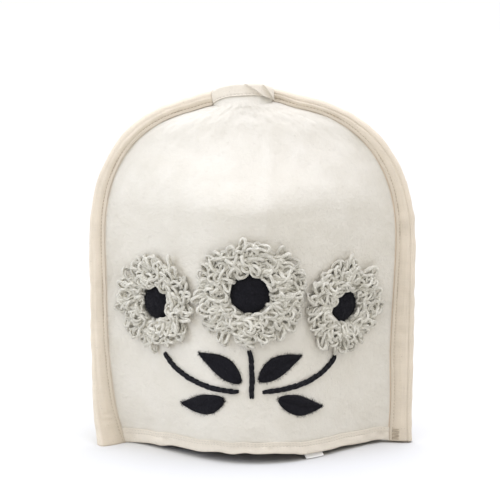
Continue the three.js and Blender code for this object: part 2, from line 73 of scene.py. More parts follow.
# Bulge of the panels
SHOULDER_HEIGHT = 0.19
CROWN_START = 0.19
CROWN_RISE = 0.0765
CROWN_POWER = 1.875  # the lower, the sharper the shoulder bends
PARTING_POWER = 2  # how late the panels part on their way up to the slot
NECK_LEAN = 0.0095  # how far the neck stands out below the lips, which lean back from it
NECK_PLACE = 0.85  # share of the crown's rise where it stands out most
NECK_SPREAD = 0.28
HEM_LIFT_POWER = 3  # the higher, the flatter the hem's lift in the middle
HEM_LIFT_FADE = 0.06  # the hem's lift has died away at this height
FOLD_FADE_POWER = 6  # the higher, the nearer the seams the soft folds die away

# Slot and its lips
SLOT_CENTRE = -0.0077
SLOT_END_RISE = {"left": 0.0020, "right": 0.0034}  # how far each seam curls up where it ends at the slot
SLOT_END_FROM = 0.94  # share along the seam where that starts
LIP_RISES = {"front": 0.0062, "back": 0.0037}  # how far each lip arches up between the slot's ends
LIP_ARCH_POWER = 3  # the higher, the flatter the lips' arch
LIP_LEAN_POWER = 2  # the higher, the more a lip leans back at its foot

# Cloth
SEAM_GAP = 0.0008
EDGE_INSET = 0.00145  # from a binding's outer edge to the felt inside it
TAPE_HUG = 0.0001  # between the felt and the tape sewn round it


def table(names, *rows):
    """A table's rows as one array for each named column."""
    return dict(zip(names.split(), np.array(rows, float).T))


# Seam flange from the hem (along 0) to the slot (along 1): its width, and its turn forward in degrees
FLANGE = table(
    "along left_width left_turn right_width right_turn",
    (0.0, 0.0225, 36, 0.0184, 4),
    (0.1, 0.0166, 19, 0.0163, 8),
    (0.25, 0.0137, 3, 0.0174, 11),
    (0.45, 0.0128, 0, 0.0152, 12),
    (0.7, 0.0110, 0, 0.0126, 6),
    (0.88, 0.0104, 0, 0.0097, 1),
    (1.0, 0.0106, 0, 0.0098, 0),
)

# Soft dents (push below 0) and ridges (push above 0), each a rounded patch turned by an angle in degrees
FRONT_FOLDS = table(
    "x height spread_x spread_z push turn",
    (0.013, 0.232, 0.005, 0.026, 0.0013, 0),
    (-0.008, 0.247, 0.015, 0.008, -0.0007, 0),
    (0.058, 0.238, 0.016, 0.010, -0.0018, 0),
    (-0.060, 0.234, 0.018, 0.010, -0.0015, 0),
    (-0.032, 0.194, 0.026, 0.010, 0.0003, 0),
    (-0.026, 0.176, 0.020, 0.014, 0.0014, 0),
    (0.078, 0.196, 0.022, 0.018, 0.0022, 0),
    (-0.006, 0.236, 0.016, 0.020, 0.0018, 0),
    (0.040, 0.190, 0.024, 0.006, -0.0010, 0),
    (-0.055, 0.256, 0.036, 0.010, 0.0016, 25),
    (0.048, 0.260, 0.030, 0.010, 0.0012, -25),
    (-0.030, 0.036, 0.014, 0.034, 0.0012, 0),
    (0.013, 0.038, 0.014, 0.034, -0.0017, 0),
    (-0.046, 0.034, 0.012, 0.020, -0.0010, 0),
    (-0.018, 0.214, 0.030, 0.004, -0.0005, 6),
    (0.052, 0.208, 0.028, 0.004, 0.0005, -8),
    (-0.070, 0.200, 0.020, 0.005, -0.0005, 14),
    (0.004, 0.024, 0.006, 0.018, 0.0006, 10),
    (0.068, 0.030, 0.008, 0.024, -0.0007, -6),
    (-0.078, 0.022, 0.010, 0.014, 0.0006, 0),
    (0.004, 0.000, 0.034, 0.016, -0.0026, 0),
    (-0.072, 0.000, 0.024, 0.016, 0.0022, 0),
)
BACK_FOLDS = table(
    "x height spread_x spread_z push turn",
    (0.006, 0.150, 0.020, 0.060, 0.0010, 8),
    (-0.040, 0.205, 0.030, 0.008, -0.0012, 10),
    (0.038, 0.212, 0.028, 0.007, -0.0009, -12),
    (-0.030, 0.060, 0.014, 0.040, -0.0011, -5),
    (0.048, 0.050, 0.012, 0.034, -0.0010, 7),
    (0.000, 0.110, 0.045, 0.007, 0.0006, 3),
    (-0.062, 0.130, 0.016, 0.024, 0.0008, -20),
    (0.066, 0.140, 0.018, 0.020, 0.0007, 18),
)

# The front felt's slack: how far it stands before (or behind) its plain bulge at heights above the floor
FRONT_SLACK = table(
    "height push",
    (0.0, 0.0), (0.03, -0.0012), (0.07, -0.0028), (0.12, -0.0038), (0.155, -0.0034), (0.18, -0.0014),
    (0.197, 0.0004), (0.215, 0.0008), (0.24, 0.0),
)

# Waves of the front hem: how far it is raised at places from the left fold (-1) to the right one (1)
HEM_WAVES = table(
    "q raised",
    (-1, 0.0), (-0.98, 0.0), (-0.89, 0.0009), (-0.8, 0.0022), (-0.71, 0.0024), (-0.64, 0.0030),
    (-0.575, 0.0022), (-0.51, 0.0012), (-0.42, 0.0003), (-0.35, 0.0011), (-0.28, 0.0019), (-0.22, 0.0011),
    (-0.17, 0.0009), (-0.13, 0.0018), (-0.08, 0.0024), (-0.015, 0.0016), (0.075, 0.0016), (0.14, 0.0015),
    (0.21, 0.0006), (0.28, -0.0002), (0.33, -0.0015), (0.5, -0.0011), (0.57, -0.0004), (0.63, 0.0010),
    (0.72, 0.0018), (0.81, 0.0012), (0.9, 0.0017), (0.96, 0.0012), (1, 0.0),
)

Panel = namedtuple(
    "Panel", "name face hem_depth shoulder_depth hem_power crown_power hem_lift rest_from folds seed")
FRONT = Panel("front", -1, 0.071, 0.0655, 1.8, 1.5, 0.0062, 0.72, FRONT_FOLDS, 11)
BACK = Panel("back", 1, 0.069, 0.064, 1.7, 1.5, 0.003, 0.62, BACK_FOLDS, 12)
PANELS = (FRONT, BACK)

# Flower spray, in the front felt's own flat measure: across from the ridge, and height above the floor
Bloom = namedtuple("Bloom", "name across height radius centre loops turn seed")
BLOOMS = (
    Bloom("left", -0.081, 0.117, 0.0345, 0.0125, 250, 0.4, 26),
    Bloom("middle", 0.0, 0.131, 0.040, 0.015, 330, 0.0, 22),
    Bloom("right", 0.081, 0.115, 0.0345, 0.0125, 250, 1.1, 23),
)
Stem = namedtuple("Stem", "name start bend end")
STEMS = (
    Stem("left", (-0.074, 0.079), (-0.060, 0.058), (-0.009, 0.056)),
    Stem("middle", (0.0, 0.088), (0.003, 0.074), (0.0, 0.051)),
    Stem("right", (0.075, 0.077), (0.060, 0.057), (0.009, 0.056)),
)
Leaf = namedtuple("Leaf", "name heel tip width seed")
LEAVES = (
    Leaf("left_upper", (-0.007, 0.064), (-0.040, 0.083), 0.016, 31),
    Leaf("left_lower", (-0.021, 0.049), (-0.061, 0.041), 0.016, 32),
    Leaf("right_upper", (0.007, 0.065), (0.041, 0.081), 0.016, 33),
    Leaf("right_lower", (0.021, 0.049), (0.059, 0.039), 0.016, 34),
)

# Seeds of the random draws; those of the panels, flowers and leaves are added to a piece's own seed
PANEL_PIT_SEED = 100
PANEL_FUZZ_SEED = 200
PANEL_HEM_SEED = 400
FLOWER_PAD_SEED = 50
FLOWER_CENTRE_SEED = 70
FLOWER_FUZZ_SEED = 80
LEAF_FUZZ_SEED = 10
SEAM_SEEDS = {"left": 41, "right": 42}
STEM_SEED = 60


def measure(name, description, default):
    """A length that a user may change."""
    return FloatProperty(name=name, description=description, default=default, unit="LENGTH")


def dye(name, description, default, **limits):
    """A colour that a user may change, as a scene-linear value."""
    return FloatVectorProperty(
        name=name, description=description, default=default, subtype="COLOR", **limits)


class CosyShape(bpy.types.PropertyGroup):
    """Driving sizes of the cosy's outline, cloth and bindings."""

    half_width: measure("Half width", "From the middle to the binding's outer edge", 0.1256)
    base_draw_in: measure("Base draw-in", "How far each side draws in at the hem", 0.0024)
    spring_height: measure("Spring height", "Where the straight sides turn into the arch", 0.15)
    arch_rise: measure("Arch rise", "From the spring to the crown of the arch", 0.1246)
    slot_length: measure("Slot length", "Between the ends of the seam bindings", 0.047)
    slot_opening: measure("Slot opening", "How far each lip stands from the seam", 0.007)
    felt: measure("Felt", "Thickness of the wool felt", 0.003)
    tape: measure("Tape", "Thickness of the folded calico tape", 0.0009)
    hem_height: measure("Hem height", "Height of the hem's binding", 0.0118)
    lip_height: measure("Lip height", "Height of the slot's bindings", 0.0092)


class CosySewing(bpy.types.PropertyGroup):
    """Sizes of stitches, yarn and flowers."""

    stitch: measure("Stitch", "Length of one machine stitch", 0.0027)
    thread: measure("Thread", "Radius of the sewing thread", 0.00026)
    yarn: measure("Yarn", "Radius of the looped yarn", 0.00125)
    loop_length: measure("Loop length", "From a loop's root to its tip", 0.0125)
    loop_width: measure("Loop width", "Between the two strands of a loop", 0.0066)
    centre_height: measure("Centre height", "Height of a flower's felt centre", 0.004)
    leaf_height: measure("Leaf height", "Thickness of a felt leaf", 0.0024)
    stem_stitch: measure("Stem stitch", "Length of one stitch of a stem", 0.0085)
    fuzz: IntProperty(name="Fuzz", description="Loose fibres on each felt panel", default=2600, min=0)


class CosyColours(bpy.types.PropertyGroup):
    """Colours of the cloths."""

    felt: dye("Felt", "Off-white wool felt", (0.720, 0.677, 0.590))
    # Painted shade: a darker, browner colour laid on the felt's inner face and in the creases by the seams
    felt_inside: dye("Felt inside", "The felt's inner face, browner with use", (0.74, 0.56, 0.39))
    calico: dye("Calico", "Unbleached calico of the seams", (0.727, 0.633, 0.501))
    # Painted light: a lighter copy of the seams' calico for the hem and slot tapes, which catch more light
    pale_calico: dye("Pale calico", "Paler calico of the hem and slot", (0.767, 0.694, 0.578))
    thread: dye("Thread", "Sewing thread", (0.52, 0.43, 0.315))
    yarn_light: dye("Light yarn", "Cream fibres of the yarn", (0.86, 0.82, 0.71))
    yarn_dark: dye("Dark yarn", "Grey fibres of the yarn", (0.495, 0.465, 0.388))
    black: dye("Black felt", "Black wool", (0.0088, 0.0083, 0.0105))
    tab: dye("Tab", "White woven tab", (0.95, 0.94, 0.915))
    floor: dye("Floor", "Pale studio floor", (0.672, 0.665, 0.646))


class CosyStage(bpy.types.PropertyGroup):
    """Camera and lights of the studio."""

    camera_distance: measure("Camera distance", "In front of the seam", 2.13)
    camera_height: measure("Camera height", "Above the floor", 0.57)
    camera_pitch: FloatProperty(
        name="Camera pitch", description="How far the camera looks down", default=math.radians(11.10),
        subtype="ANGLE", unit="ROTATION")
    camera_yaw: FloatProperty(
        name="Camera yaw", description="How far the camera turns to its left", default=math.radians(0.05),
        subtype="ANGLE", unit="ROTATION")
    lens: FloatProperty(
        name="Lens", description="Focal length in millimetres on a 36 mm sensor", default=203.0)
    key_power: FloatProperty(
        name="Key light", description="Power of the soft light overhead", default=17.1, unit="POWER")
    side_power: FloatProperty(
        name="Side light", description="Power of the soft light on the left", default=14.4, unit="POWER")
    horizon: dye("Horizon", "Light that comes from the sides", (0.123, 0.127, 0.141))
    zenith: dye("Zenith", "Light that comes from straight above", (2.16, 2.175, 2.19), soft_max=4.0)


def shape():
    """The scene's own CosyShape."""
    return bpy.context.scene.cosy_shape


def sewing():
    """The scene's own CosySewing."""
    return bpy.context.scene.cosy_sewing


def colours():
    """The scene's own CosyColours."""
    return bpy.context.scene.cosy_colours


# Small tools for arrays


def unit(vectors):
    """Vectors scaled to length 1."""
    return vectors / np.maximum(np.linalg.norm(vectors, axis=-1, keepdims=True), 1e-12)


def mix(a, b, t):
    """From a, where t is 0, straight to b, where t is 1."""
    return a + (b - a) * t


def smoothstep(low, high, value):
    """0 below low, 1 above high, and 3t^2 - 2t^3 between them."""
    t = np.clip((value - low) / (high - low), 0, 1)
    return t * t * (3 - 2 * t)


def bell(distance, spread):
    """1 at no distance, falling off with e to the power of minus the square of distance over spread."""
    return np.exp(-((distance / spread) ** 2))


def through_rows(rows, key, column, where):
    """Cubic pieces through a table's rows; a row's slope is that of the chord between its neighbours."""
    x, y = rows[key], rows[column]
    ahead = np.append(np.arange(1, len(x)), len(x) - 1)
    behind = np.append(0, np.arange(len(x) - 1))
    slope = (y[ahead] - y[behind]) / (x[ahead] - x[behind])
    at = np.clip(where, x[0], x[-1])
    low = np.clip(np.searchsorted(x, at, side="right") - 1, 0, len(x) - 2)
    span = x[low + 1] - x[low]
    u = (at - x[low]) / span
    start = (1 + 2 * u) * (1 - u) ** 2 * y[low] + u * (1 - u) ** 2 * span * slope[low]
    end = u * u * (3 - 2 * u) * y[low + 1] + u * u * (u - 1) * span * slope[low + 1]
    return start + end


def soft_noise(seed, counts, sizes):
    """Random numbers blurred by a bell of the given sizes, in grid steps, and scaled to a spread of 1."""
    field = np.random.default_rng(seed).standard_normal(counts)
    for axis, size in enumerate(sizes):
        frequency = np.fft.fftfreq(counts[axis])
        keep = np.exp(-2 * (np.pi * frequency * size) ** 2)
        keep = keep.reshape([-1 if a == axis else 1 for a in range(len(counts))])
        field = np.fft.ifft(np.fft.fft(field, axis=axis) * keep, axis=axis).real
    return field / field.std()


def path_length(points):
    """Distance from the start of each path of points; the last axis but one runs along a path."""
    steps = np.linalg.norm(np.diff(points, axis=-2), axis=-1)
    return np.concatenate([np.zeros_like(steps[..., :1]), np.cumsum(steps, axis=-1)], axis=-1)


def mirrored(values, sign=1):
    """A section's values from one end to its middle, and back from there to its other end with a sign."""
    return np.concatenate([values, sign * values[::-1]])


# Shapes of the cosy


@lru_cache(maxsize=None)
def arch_table(side):
    """The arch of one side by its arc length: x is half width times cos^(2/n) of an angle plus a lean
    that grows with the square of the rise, and z is the spring's height plus the rise times sin^(2/n)."""
    sign = SIGNS[side]
    reach = abs(SLOT_CENTRE + sign * shape().slot_length / 2 - ARCH_LEAN)
    end = math.acos((reach / shape().half_width) ** (ARCH_POWER / 2))
    angle = np.linspace(0, end, ARCH_SAMPLES)
    up = np.sin(angle) ** (2 / ARCH_POWER)
    out = np.cos(angle) ** (2 / ARCH_POWER)
    x = sign * shape().half_width * out + ARCH_LEAN * up**2
    z = shape().spring_height + shape().arch_rise * up
    length = path_length(np.stack([x, z], -1))
    heading = unit(np.stack([np.gradient(x, length), np.gradient(z, length)], -1))
    return length, x, z, heading[:, 0], heading[:, 1]


def outline_at(side, along):
    """Outer edge of the cosy and its heading at a share of the way from the hem to the slot: a wall that
    draws in with the square of its depth below the spring, then the arch by its arc length. The foot is
    lifted and flared by a square that dies away above it, and the end at the slot curls up by a smooth
    step."""
    length, x, z, run, rise = arch_table(side)
    above = np.clip((along - WALL_SHARE) / (1 - WALL_SHARE), 0, 1) * length[-1]
    below = np.clip(1 - along / WALL_SHARE, 0, 1)
    on_arch = along >= WALL_SHARE
    wall = SIGNS[side] * (shape().half_width - shape().base_draw_in * below**2)
    edge_x = np.where(on_arch, np.interp(above, length, x), wall)
    edge_z = np.where(on_arch, np.interp(above, length, z), shape().spring_height * (1 - below))
    run = np.where(on_arch, np.interp(above, length, run), 0.0)
    rise = np.where(on_arch, np.interp(above, length, rise), 1.0)
    foot = np.maximum(1 - edge_z / FOOT_REACH, 0) ** 2
    lift = FOOT_LIFT[side] * foot + SLOT_END_RISE[side] * smoothstep(SLOT_END_FROM, 1, along)
    return edge_x + SIGNS[side] * FOOT_FLARE[side] * foot, edge_z + lift, run, rise


def flange_width(side, along):
    """Width of a seam's flange, from the fold to the binding's outer edge."""
    return through_rows(FLANGE, "along", f"{side}_width", along)


def flange_point(side, along, distance, height):
    """Point of a seam's flange: the fold, which lies the flange's width inside the outline, plus a
    distance outward and a height through the seam, both turned forward by the flange's turn."""
    values = (np.asarray(value, float) for value in (along, distance, height))
    along, distance, height = np.broadcast_arrays(*values)
    edge_x, edge_z, run, rise = outline_at(side, along)
    outward = SIGNS[side] * np.stack([rise, np.zeros_like(rise), -run], -1)
    edge = np.stack([edge_x, np.full_like(edge_x, SEAM_PLANE), edge_z], -1)
    fold = edge - outward * flange_width(side, along)[..., None]
    turn = np.radians(through_rows(FLANGE, "along", f"{side}_turn", along))[..., None]
    across = outward * np.cos(turn) + FRONTWARD * np.sin(turn)
    through = outward * np.sin(turn) - FRONTWARD * np.cos(turn)
    return fold + across * distance[..., None] + through * height[..., None]


def outer_face():
    """From the seam plane to a panel's outer face."""
    return SEAM_GAP / 2 + shape().felt


def flange_face(panel, side, along, out):
    """Outer face of a panel's flange at a share of the way out from the fold to the felt's raw edge."""
    distance = (flange_width(side, along) - EDGE_INSET) * out
    return flange_point(side, along, distance, panel.face * outer_face())


def hem_lift(panel, q):
    """Lift of the hem at q, from -1 at the left fold to 1 at the right one: highest in the middle, with
    the listed waves of the front one."""
    lift = panel.hem_lift * (1 - np.minimum(np.abs(q) / panel.rest_from, 1) ** HEM_LIFT_POWER)
    if panel is FRONT:
        lift = lift + through_rows(HEM_WAVES, "q", "raised", q)
    return lift


def fold_height(folds, x, z):
    """Sum of the folds' rounded patches: push times the bell of the distance in a patch's own spreads."""
    total = np.zeros(np.broadcast(x, z).shape)
    for cx, cz, spread_x, spread_z, push, turn in zip(*folds.values()):
        cosine, sine = math.cos(math.radians(turn)), math.sin(math.radians(turn))
        across = ((x - cx) * cosine + (z - cz) * sine) / spread_x
        up = ((z - cz) * cosine - (x - cx) * sine) / spread_z
        total += push * np.exp(-across**2 - up**2)
    return total


def panel_point(panel, along, share):
    """Outer face of a panel between its folds. The bulge is depth times (1 - r^2)^power, where r grows
    from 0 in the middle to 1 at the folds and at the crown. To it are added the parting towards the slot
    and the neck's bell below the lips, both times 1 - q^2, the soft folds, the front's slack and the
    hem's lift."""
    along, share = np.broadcast_arrays(np.asarray(along, float), np.asarray(share, float))
    point = mix(*(flange_face(panel, side, along, 0) for side in SIGNS), share[..., None])
    x, z = point[..., 0], point[..., 2]
    q = 2 * share - 1
    climb = np.clip((z - CROWN_START) / CROWN_RISE, 0, 1)
    crown = climb**CROWN_POWER
    r = (crown + (1 - crown) * np.abs(q) ** ARCH_POWER) ** (1 / ARCH_POWER)
    rise = np.clip(z / SHOULDER_HEIGHT, 0, 1)
    depth = mix(panel.hem_depth, panel.shoulder_depth, rise) - outer_face()
    power = mix(panel.hem_power, panel.crown_power, rise)
    bulge = depth * np.maximum(1 - r * r, 0) ** power
    bulge += shape().slot_opening * crown**PARTING_POWER * (1 - q * q)
    bulge += NECK_LEAN * bell(climb - NECK_PLACE, NECK_SPREAD) * (1 - q * q)
    bulge += (1 - q**FOLD_FADE_POWER) * fold_height(panel.folds, x, z)
    if panel is FRONT:
        bulge += (1 - q**FOLD_FADE_POWER) * through_rows(FRONT_SLACK, "height", "push", z)
    lift = hem_lift(panel, q) * np.maximum(1 - z / HEM_LIFT_FADE, 0) ** 2
    return point + np.stack([np.zeros_like(bulge), panel.face * bulge, lift], -1)


def lip_rise(panel, share):
    """How far a lip arches up at a share across the slot."""
    return LIP_RISES[panel.name] * (1 - np.abs(2 * share - 1) ** LIP_ARCH_POWER)


def lip_parting(share):
    """How far a lip stands from the seam at a share across the slot: the opening times 1 - q^2."""
    return shape().slot_opening * (1 - (2 * share - 1) ** 2)


def lip_point(panel, share, up):
    """Outer face of a lip, at a share across the slot and a share of the way up to its edge: between the
    ends of the two flanges, raised by the lip's arch, and leaning back from the panel's top to the
    parted edge, most of it at its foot."""
    share, up = np.broadcast_arrays(np.asarray(share, float), np.asarray(up, float))
    point = mix(*(flange_face(panel, side, 1.0, up) for side in SIGNS), share[..., None])
    base = panel_point(panel, 1.0, share)[..., 1]
    edge = point[..., 1] + panel.face * lip_parting(share)
    point[..., 1] = mix(base, edge, 1 - (1 - up) ** LIP_LEAN_POWER)
    point[..., 2] += lip_rise(panel, share) * up
    return point


def along_at(height):
    """Share of the way along the seam at a height above the floor."""
    arch = (arch_table("left")[0][-1] + arch_table("right")[0][-1]) / 2
    wall = WALL_SHARE * height / shape().spring_height
    over = WALL_SHARE + (1 - WALL_SHARE) * (height - shape().spring_height) / arch
    return np.where(height <= shape().spring_height, wall, over)


# Meshes


def grid_quads(index):
    """Four corners of each cell of a grid of point numbers."""
    corners = index[:-1, :-1], index[:-1, 1:], index[1:, 1:], index[1:, :-1]
    return np.stack(corners, -1).reshape(-1, 4)


def point_normals(points, quads):
    """Smooth normals: the sum of the normals of the cells round each point."""
    a, b, c, d = (points[quads[:, k]] for k in range(4))
    cell = np.cross(c - a, d - b)
    total = np.zeros_like(points)
    for k in range(4):
        np.add.at(total, quads[:, k], cell)
    return unit(total)


def turned_out(points, quads):
    """The cells, turned round if they face inwards: then the volume under them is below 0."""
    a, b, c, d = (points[quads[:, k]] for k in range(4))
    volume = np.einsum("ij,ij->", a, np.cross(b, c)) + np.einsum("ij,ij->", a, np.cross(c, d))
    return quads if volume > 0 else quads[:, ::-1]


def closed_pair(top, base, quads):
    """Two facing surfaces with the same cells, closed by a wall along their edge and turned to face out."""
    count = len(top)
    start = quads.ravel()
    end = np.roll(quads, -1, axis=1).ravel()
    lone = ~np.isin(start * count + end, end * count + start)
    wall = np.stack([end[lone], start[lone], start[lone] + count, end[lone] + count], -1)
    points = np.concatenate([top, base])
    return points, turned_out(points, np.concatenate([quads, quads[:, ::-1] + count, wall]))


def add_piece(name, points, quads, cloth, uv=None, tone=None):
    """A mesh object at the origin in a cloth's finish; uv is for each corner, and tone for each point."""
    mesh = bpy.data.meshes.new(name)
    mesh.vertices.add(len(points))
    mesh.vertices.foreach_set("co", np.asarray(points, np.float32).ravel())
    mesh.loops.add(quads.size)
    mesh.polygons.add(len(quads))
    mesh.polygons.foreach_set("loop_start", np.arange(0, quads.size, 4, dtype=np.int32))
    mesh.polygons.foreach_set("vertices", np.asarray(quads, np.int32).ravel())
    mesh.update(calc_edges=True)
    if uv is not None:
        layer = mesh.uv_layers.new(name="cloth")
        layer.uv.foreach_set("vector", np.asarray(uv, np.float32).ravel())
    if tone is not None:
        attribute = mesh.attributes.new("tone", "FLOAT", "POINT")
        attribute.data.foreach_set("value", np.asarray(tone, np.float32))
    if mesh.validate():
        raise RuntimeError(f"{name}: its mesh had faulty cells")
    mesh.shade_smooth()
    mesh.materials.append(finish(cloth))
    piece = bpy.data.objects.new(name, mesh)
    bpy.context.scene.collection.objects.link(piece)
    return piece


def dress(piece, slot, *nodes):
    """A finished piece rides on the cosy's one body and stands for its solids; slot is not used."""
    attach(piece, "root")
    if nodes:
        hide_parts(*nodes)


def sheet_piece(name, outer, inner, cloth, uv):
    """A closed sheet from two grids of points of one size; uv holds one pair for each point."""
    rows, columns = outer.shape[:2]
    cells = grid_quads(np.arange(rows * columns).reshape(rows, columns))
    points, quads = closed_pair(outer.reshape(-1, 3), inner.reshape(-1, 3), cells)
    both = np.concatenate([uv.reshape(-1, 2)] * 2)
    return add_piece(name, points, quads, cloth, uv=both[quads])


def tape_piece(name, faces, column, cloth, solid):
    """A folded tape as a closed sheet, cut to a flat size and sewn on its felts. Its UV is the length
    along one column of its outer face, and the way across it at the middle of its length."""
    outer, inner = faces
    length = path_length(outer[:, column])
    across = path_length(outer[len(outer) // 2])
    uv = np.stack(np.broadcast_arrays(length[:, None], across[None, :]), -1)
    piece = sheet_piece(name, outer, inner, cloth, uv)
    dress(piece, "calico", solid)


STRAND_SIDES = 6


def strands(centres, radii, binormals, sides=STRAND_SIDES):
    """Round strands, many at once: a ring of points about each point of each path, in the plane of the
    path's own binormal and the normal across it, closed at both ends. UV is the length along and the
    share round."""
    count, steps = centres.shape[:2]
    tangent = unit(np.gradient(centres, axis=1))
    binormal = np.broadcast_to(binormals[:, None, :], centres.shape)
    binormal = unit(binormal - tangent * np.sum(binormal * tangent, -1, keepdims=True))
    normal = np.cross(binormal, tangent)
    angle = 2 * np.pi * np.arange(sides) / sides
    cosine, sine = np.cos(angle)[:, None], np.sin(angle)[:, None]
    around = cosine * normal[:, :, None, :] + sine * binormal[:, :, None, :]
    points = centres[:, :, None, :] + np.asarray(radii)[..., None, None] * around
    index = np.arange(points[..., 0].size).reshape(count, steps, sides)
    beside = np.roll(index, -1, axis=2)
    walls = np.stack([index[:, :-1], beside[:, :-1], beside[:, 1:], index[:, 1:]], -1).reshape(-1, 4)
    fans = [[0, k, k + 1, k + 2] for k in range(1, sides - 1, 2)]
    caps = [index[:, -1, fan] for fan in fans] + [index[:, 0, fan[::-1]] for fan in fans]
    length = np.broadcast_to(path_length(centres)[:, :, None], index.shape)
    share = np.broadcast_to(np.arange(sides) / sides, index.shape)
    next_share = share + 1 / sides
    u = np.stack([length[:, :-1], length[:, :-1], length[:, 1:], length[:, 1:]], -1)
    v = np.stack([share[:, :-1], next_share[:, :-1], next_share[:, 1:], share[:, 1:]], -1)
    uv_walls = np.stack([u, v], -1).reshape(-1, 4, 2)
    uv_points = np.stack([length, share], -1).reshape(-1, 2)
    quads = np.concatenate([walls, *caps])
    uv = np.concatenate([uv_walls, uv_points[np.concatenate(caps)]])
    return points.reshape(-1, 3), quads, uv


def joined(*lots):
    """Several lots of points, cells and further columns, such as UVs and tones, as one."""
    points, quads, *others = zip(*lots)
    offsets = np.cumsum([0] + [len(lot) for lot in points[:-1]])
    shifted = [lot + offset for lot, offset in zip(quads, offsets)]
    return [np.concatenate(column) for column in (points, shifted, *others)]


def strand_piece(name, lots, cloth, slot, *nodes):
    """Several lots of strands as one piece."""
    points, quads, uv = joined(*lots)
    dress(add_piece(name, points, quads, cloth, uv=uv), slot, *nodes)


FIBRE_STEPS = 4
FIBRE_SIDES = 4
FIBRE_RADIUS = 0.00006
FIBRE_UPRIGHT = 0.7  # how much of a fibre's way is along the face's normal
FIBRE_STRAY = 0.7  # how much of it is random
FIBRE_CLEAR = 0.1  # the least that it rises off the face
FIBRE_LENGTHS = (0.4, 1.0)  # shares of the full length
FIBRE_CURL = 0.45
FIBRE_TAPER = 0.7


def fibres(roots, normals, rng, length, radius=FIBRE_RADIUS):
    """Loose fibres: each path leaves its root along a leaning direction and curls sideways with the
    square of the distance, and tapers to its tip."""
    count = len(roots)
    lean = unit(normals * FIBRE_UPRIGHT + rng.standard_normal((count, 3)) * FIBRE_STRAY)
    lean -= normals * np.minimum(np.sum(lean * normals, -1, keepdims=True) - FIBRE_CLEAR, 0)
    curl = unit(np.cross(lean, rng.standard_normal((count, 3))))
    reach = (length * rng.uniform(*FIBRE_LENGTHS, count))[:, None, None]
    t = np.linspace(0, 1, FIBRE_STEPS)[None, :, None]
    paths = roots[:, None, :] + reach * (t * lean[:, None, :] + FIBRE_CURL * t * t * curl[:, None, :])
    radii = radius * np.broadcast_to(1 - FIBRE_TAPER * t[..., 0], (count, FIBRE_STEPS))
    return strands(paths, radii, np.cross(lean, curl), FIBRE_SIDES)


# Materials

NOISE_RANGE = (0.3, 0.7)  # where nearly all of a noise lies
WARMTH = (1.0, 0.99, 0.965, 1.0)  # what a warm tone keeps of its red, green, blue and alpha
# Noises that are stretched into streaks of fibres: each one's turn and its stretch along three axes
STREAKS = ((0.3, (500, 500, 2600)), (1.4, (2600, 700, 500)), (2.4, (700, 2400, 500)))
STREAK_TILT = 0.6  # share of its turn that a streak also tilts by
FELT_WORN = (0.185, 0.215)  # heights between which the felt's pits grow shallow
CALICO_PITCH = 0.00058  # of two threads
# Painted shade on the calico: darker and warmer over this reach from the front leg's stitched end, as strong
# as these shares on the seams and on the hem and slot
CALICO_SHADE_REACH = 0.006  # across the tape, from its front leg's end
SEAM_EDGE_SHADE = 0.34
HEM_EDGE_SHADE = 0.1
RIB_PITCH = 0.0007
YARN_PLIES = 2
YARN_PITCH = 0.0062
YARN_TONE = 0.62  # how much of a loop's own tone shows
STEM_PITCH = 0.0046
THREAD_PLIES = 3
THREAD_PITCH = 0.0009
PALE_THREAD = 0.88  # of the pale calico's colour
# Values that are the same all over a surface, and the shader's names for them
SHADER_SOCKETS = {
    "roughness": "Roughness",
    "specular": "Specular IOR Level",
    "sheen": "Sheen Weight",
    "sheen_roughness": "Sheen Roughness",
}


def new_material(name):
    """A material and its node tree."""
    material = bpy.data.materials.new(name)
    material.use_nodes = True
    return material, material.node_tree


def surface(material, tint, normal=None, **values):
    """The material: tint and normal are led to its shader, and values that are even all over set there."""
    tree = material.node_tree
    shader = tree.nodes["Principled BSDF"]
    tree.links.new(tint, shader.inputs["Base Color"])
    if normal is not None:
        tree.links.new(normal, shader.inputs["Normal"])
    for name, value in values.items():
        shader.inputs[SHADER_SOCKETS[name]].default_value = value
    return material


def node(tree, kind, values=None, **settings):
    """A node with its settings, and its inputs given as values or as the sockets that feed them."""
    made = tree.nodes.new(kind)
    for key, value in settings.items():
        setattr(made, key, value)
    for key, value in (values or {}).items():
        if isinstance(value, bpy.types.NodeSocket):
            tree.links.new(value, made.inputs[key])
        else:
            made.inputs[key].default_value = value
    return made


def place(tree, kind="Object"):
    """Where a pattern is read: the object's own coordinates, or its UV."""
    return node(tree, "ShaderNodeTexCoord").outputs[kind]


def axes(tree, source):
    """The X, Y and Z of coordinates."""
    return node(tree, "ShaderNodeSeparateXYZ", {"Vector": source}).outputs


def point_tone(tree):
    """The tone that a piece's points carry."""
    return node(tree, "ShaderNodeAttribute", attribute_name="tone").outputs["Fac"]


def stretched(tree, source, scale, turn=(0, 0, 0)):
    """Coordinates turned and then stretched."""
    values = {"Vector": source, "Scale": scale, "Rotation": turn}
    return node(tree, "ShaderNodeMapping", values).outputs["Vector"]


def noise(tree, source, scale=1.0, detail=2.0, roughness=0.5):
    """Cloudy noise; scale is its patches to a metre."""
    values = {"Vector": source, "Scale": scale, "Detail": detail, "Roughness": roughness}
    return node(tree, "ShaderNodeTexNoise", values).outputs["Fac"]


def ramp(tree, value, low, high, start=0.0, end=1.0):
    """A value's range from low to high, carried over to start to end."""
    values = {"Value": value, "From Min": low, "From Max": high, "To Min": start, "To Max": end}
    return node(tree, "ShaderNodeMapRange", values).outputs["Result"]


def maths(tree, operation, a, b=0.0):
    """A calculation with one or two values."""
    return node(tree, "ShaderNodeMath", {0: a, 1: b}, operation=operation).outputs["Value"]


def wave(tree, value, pitch):
    """A sine that comes round once in each pitch of a value."""
    return maths(tree, "SINE", maths(tree, "MULTIPLY", value, 2 * math.pi / pitch))


def blend_colour(tree, share, a, b):
    """Colour a, mixed with colour b by a share."""
    return node(tree, "ShaderNodeMix", {0: share, 6: a, 7: b}, data_type="RGBA").outputs[2]


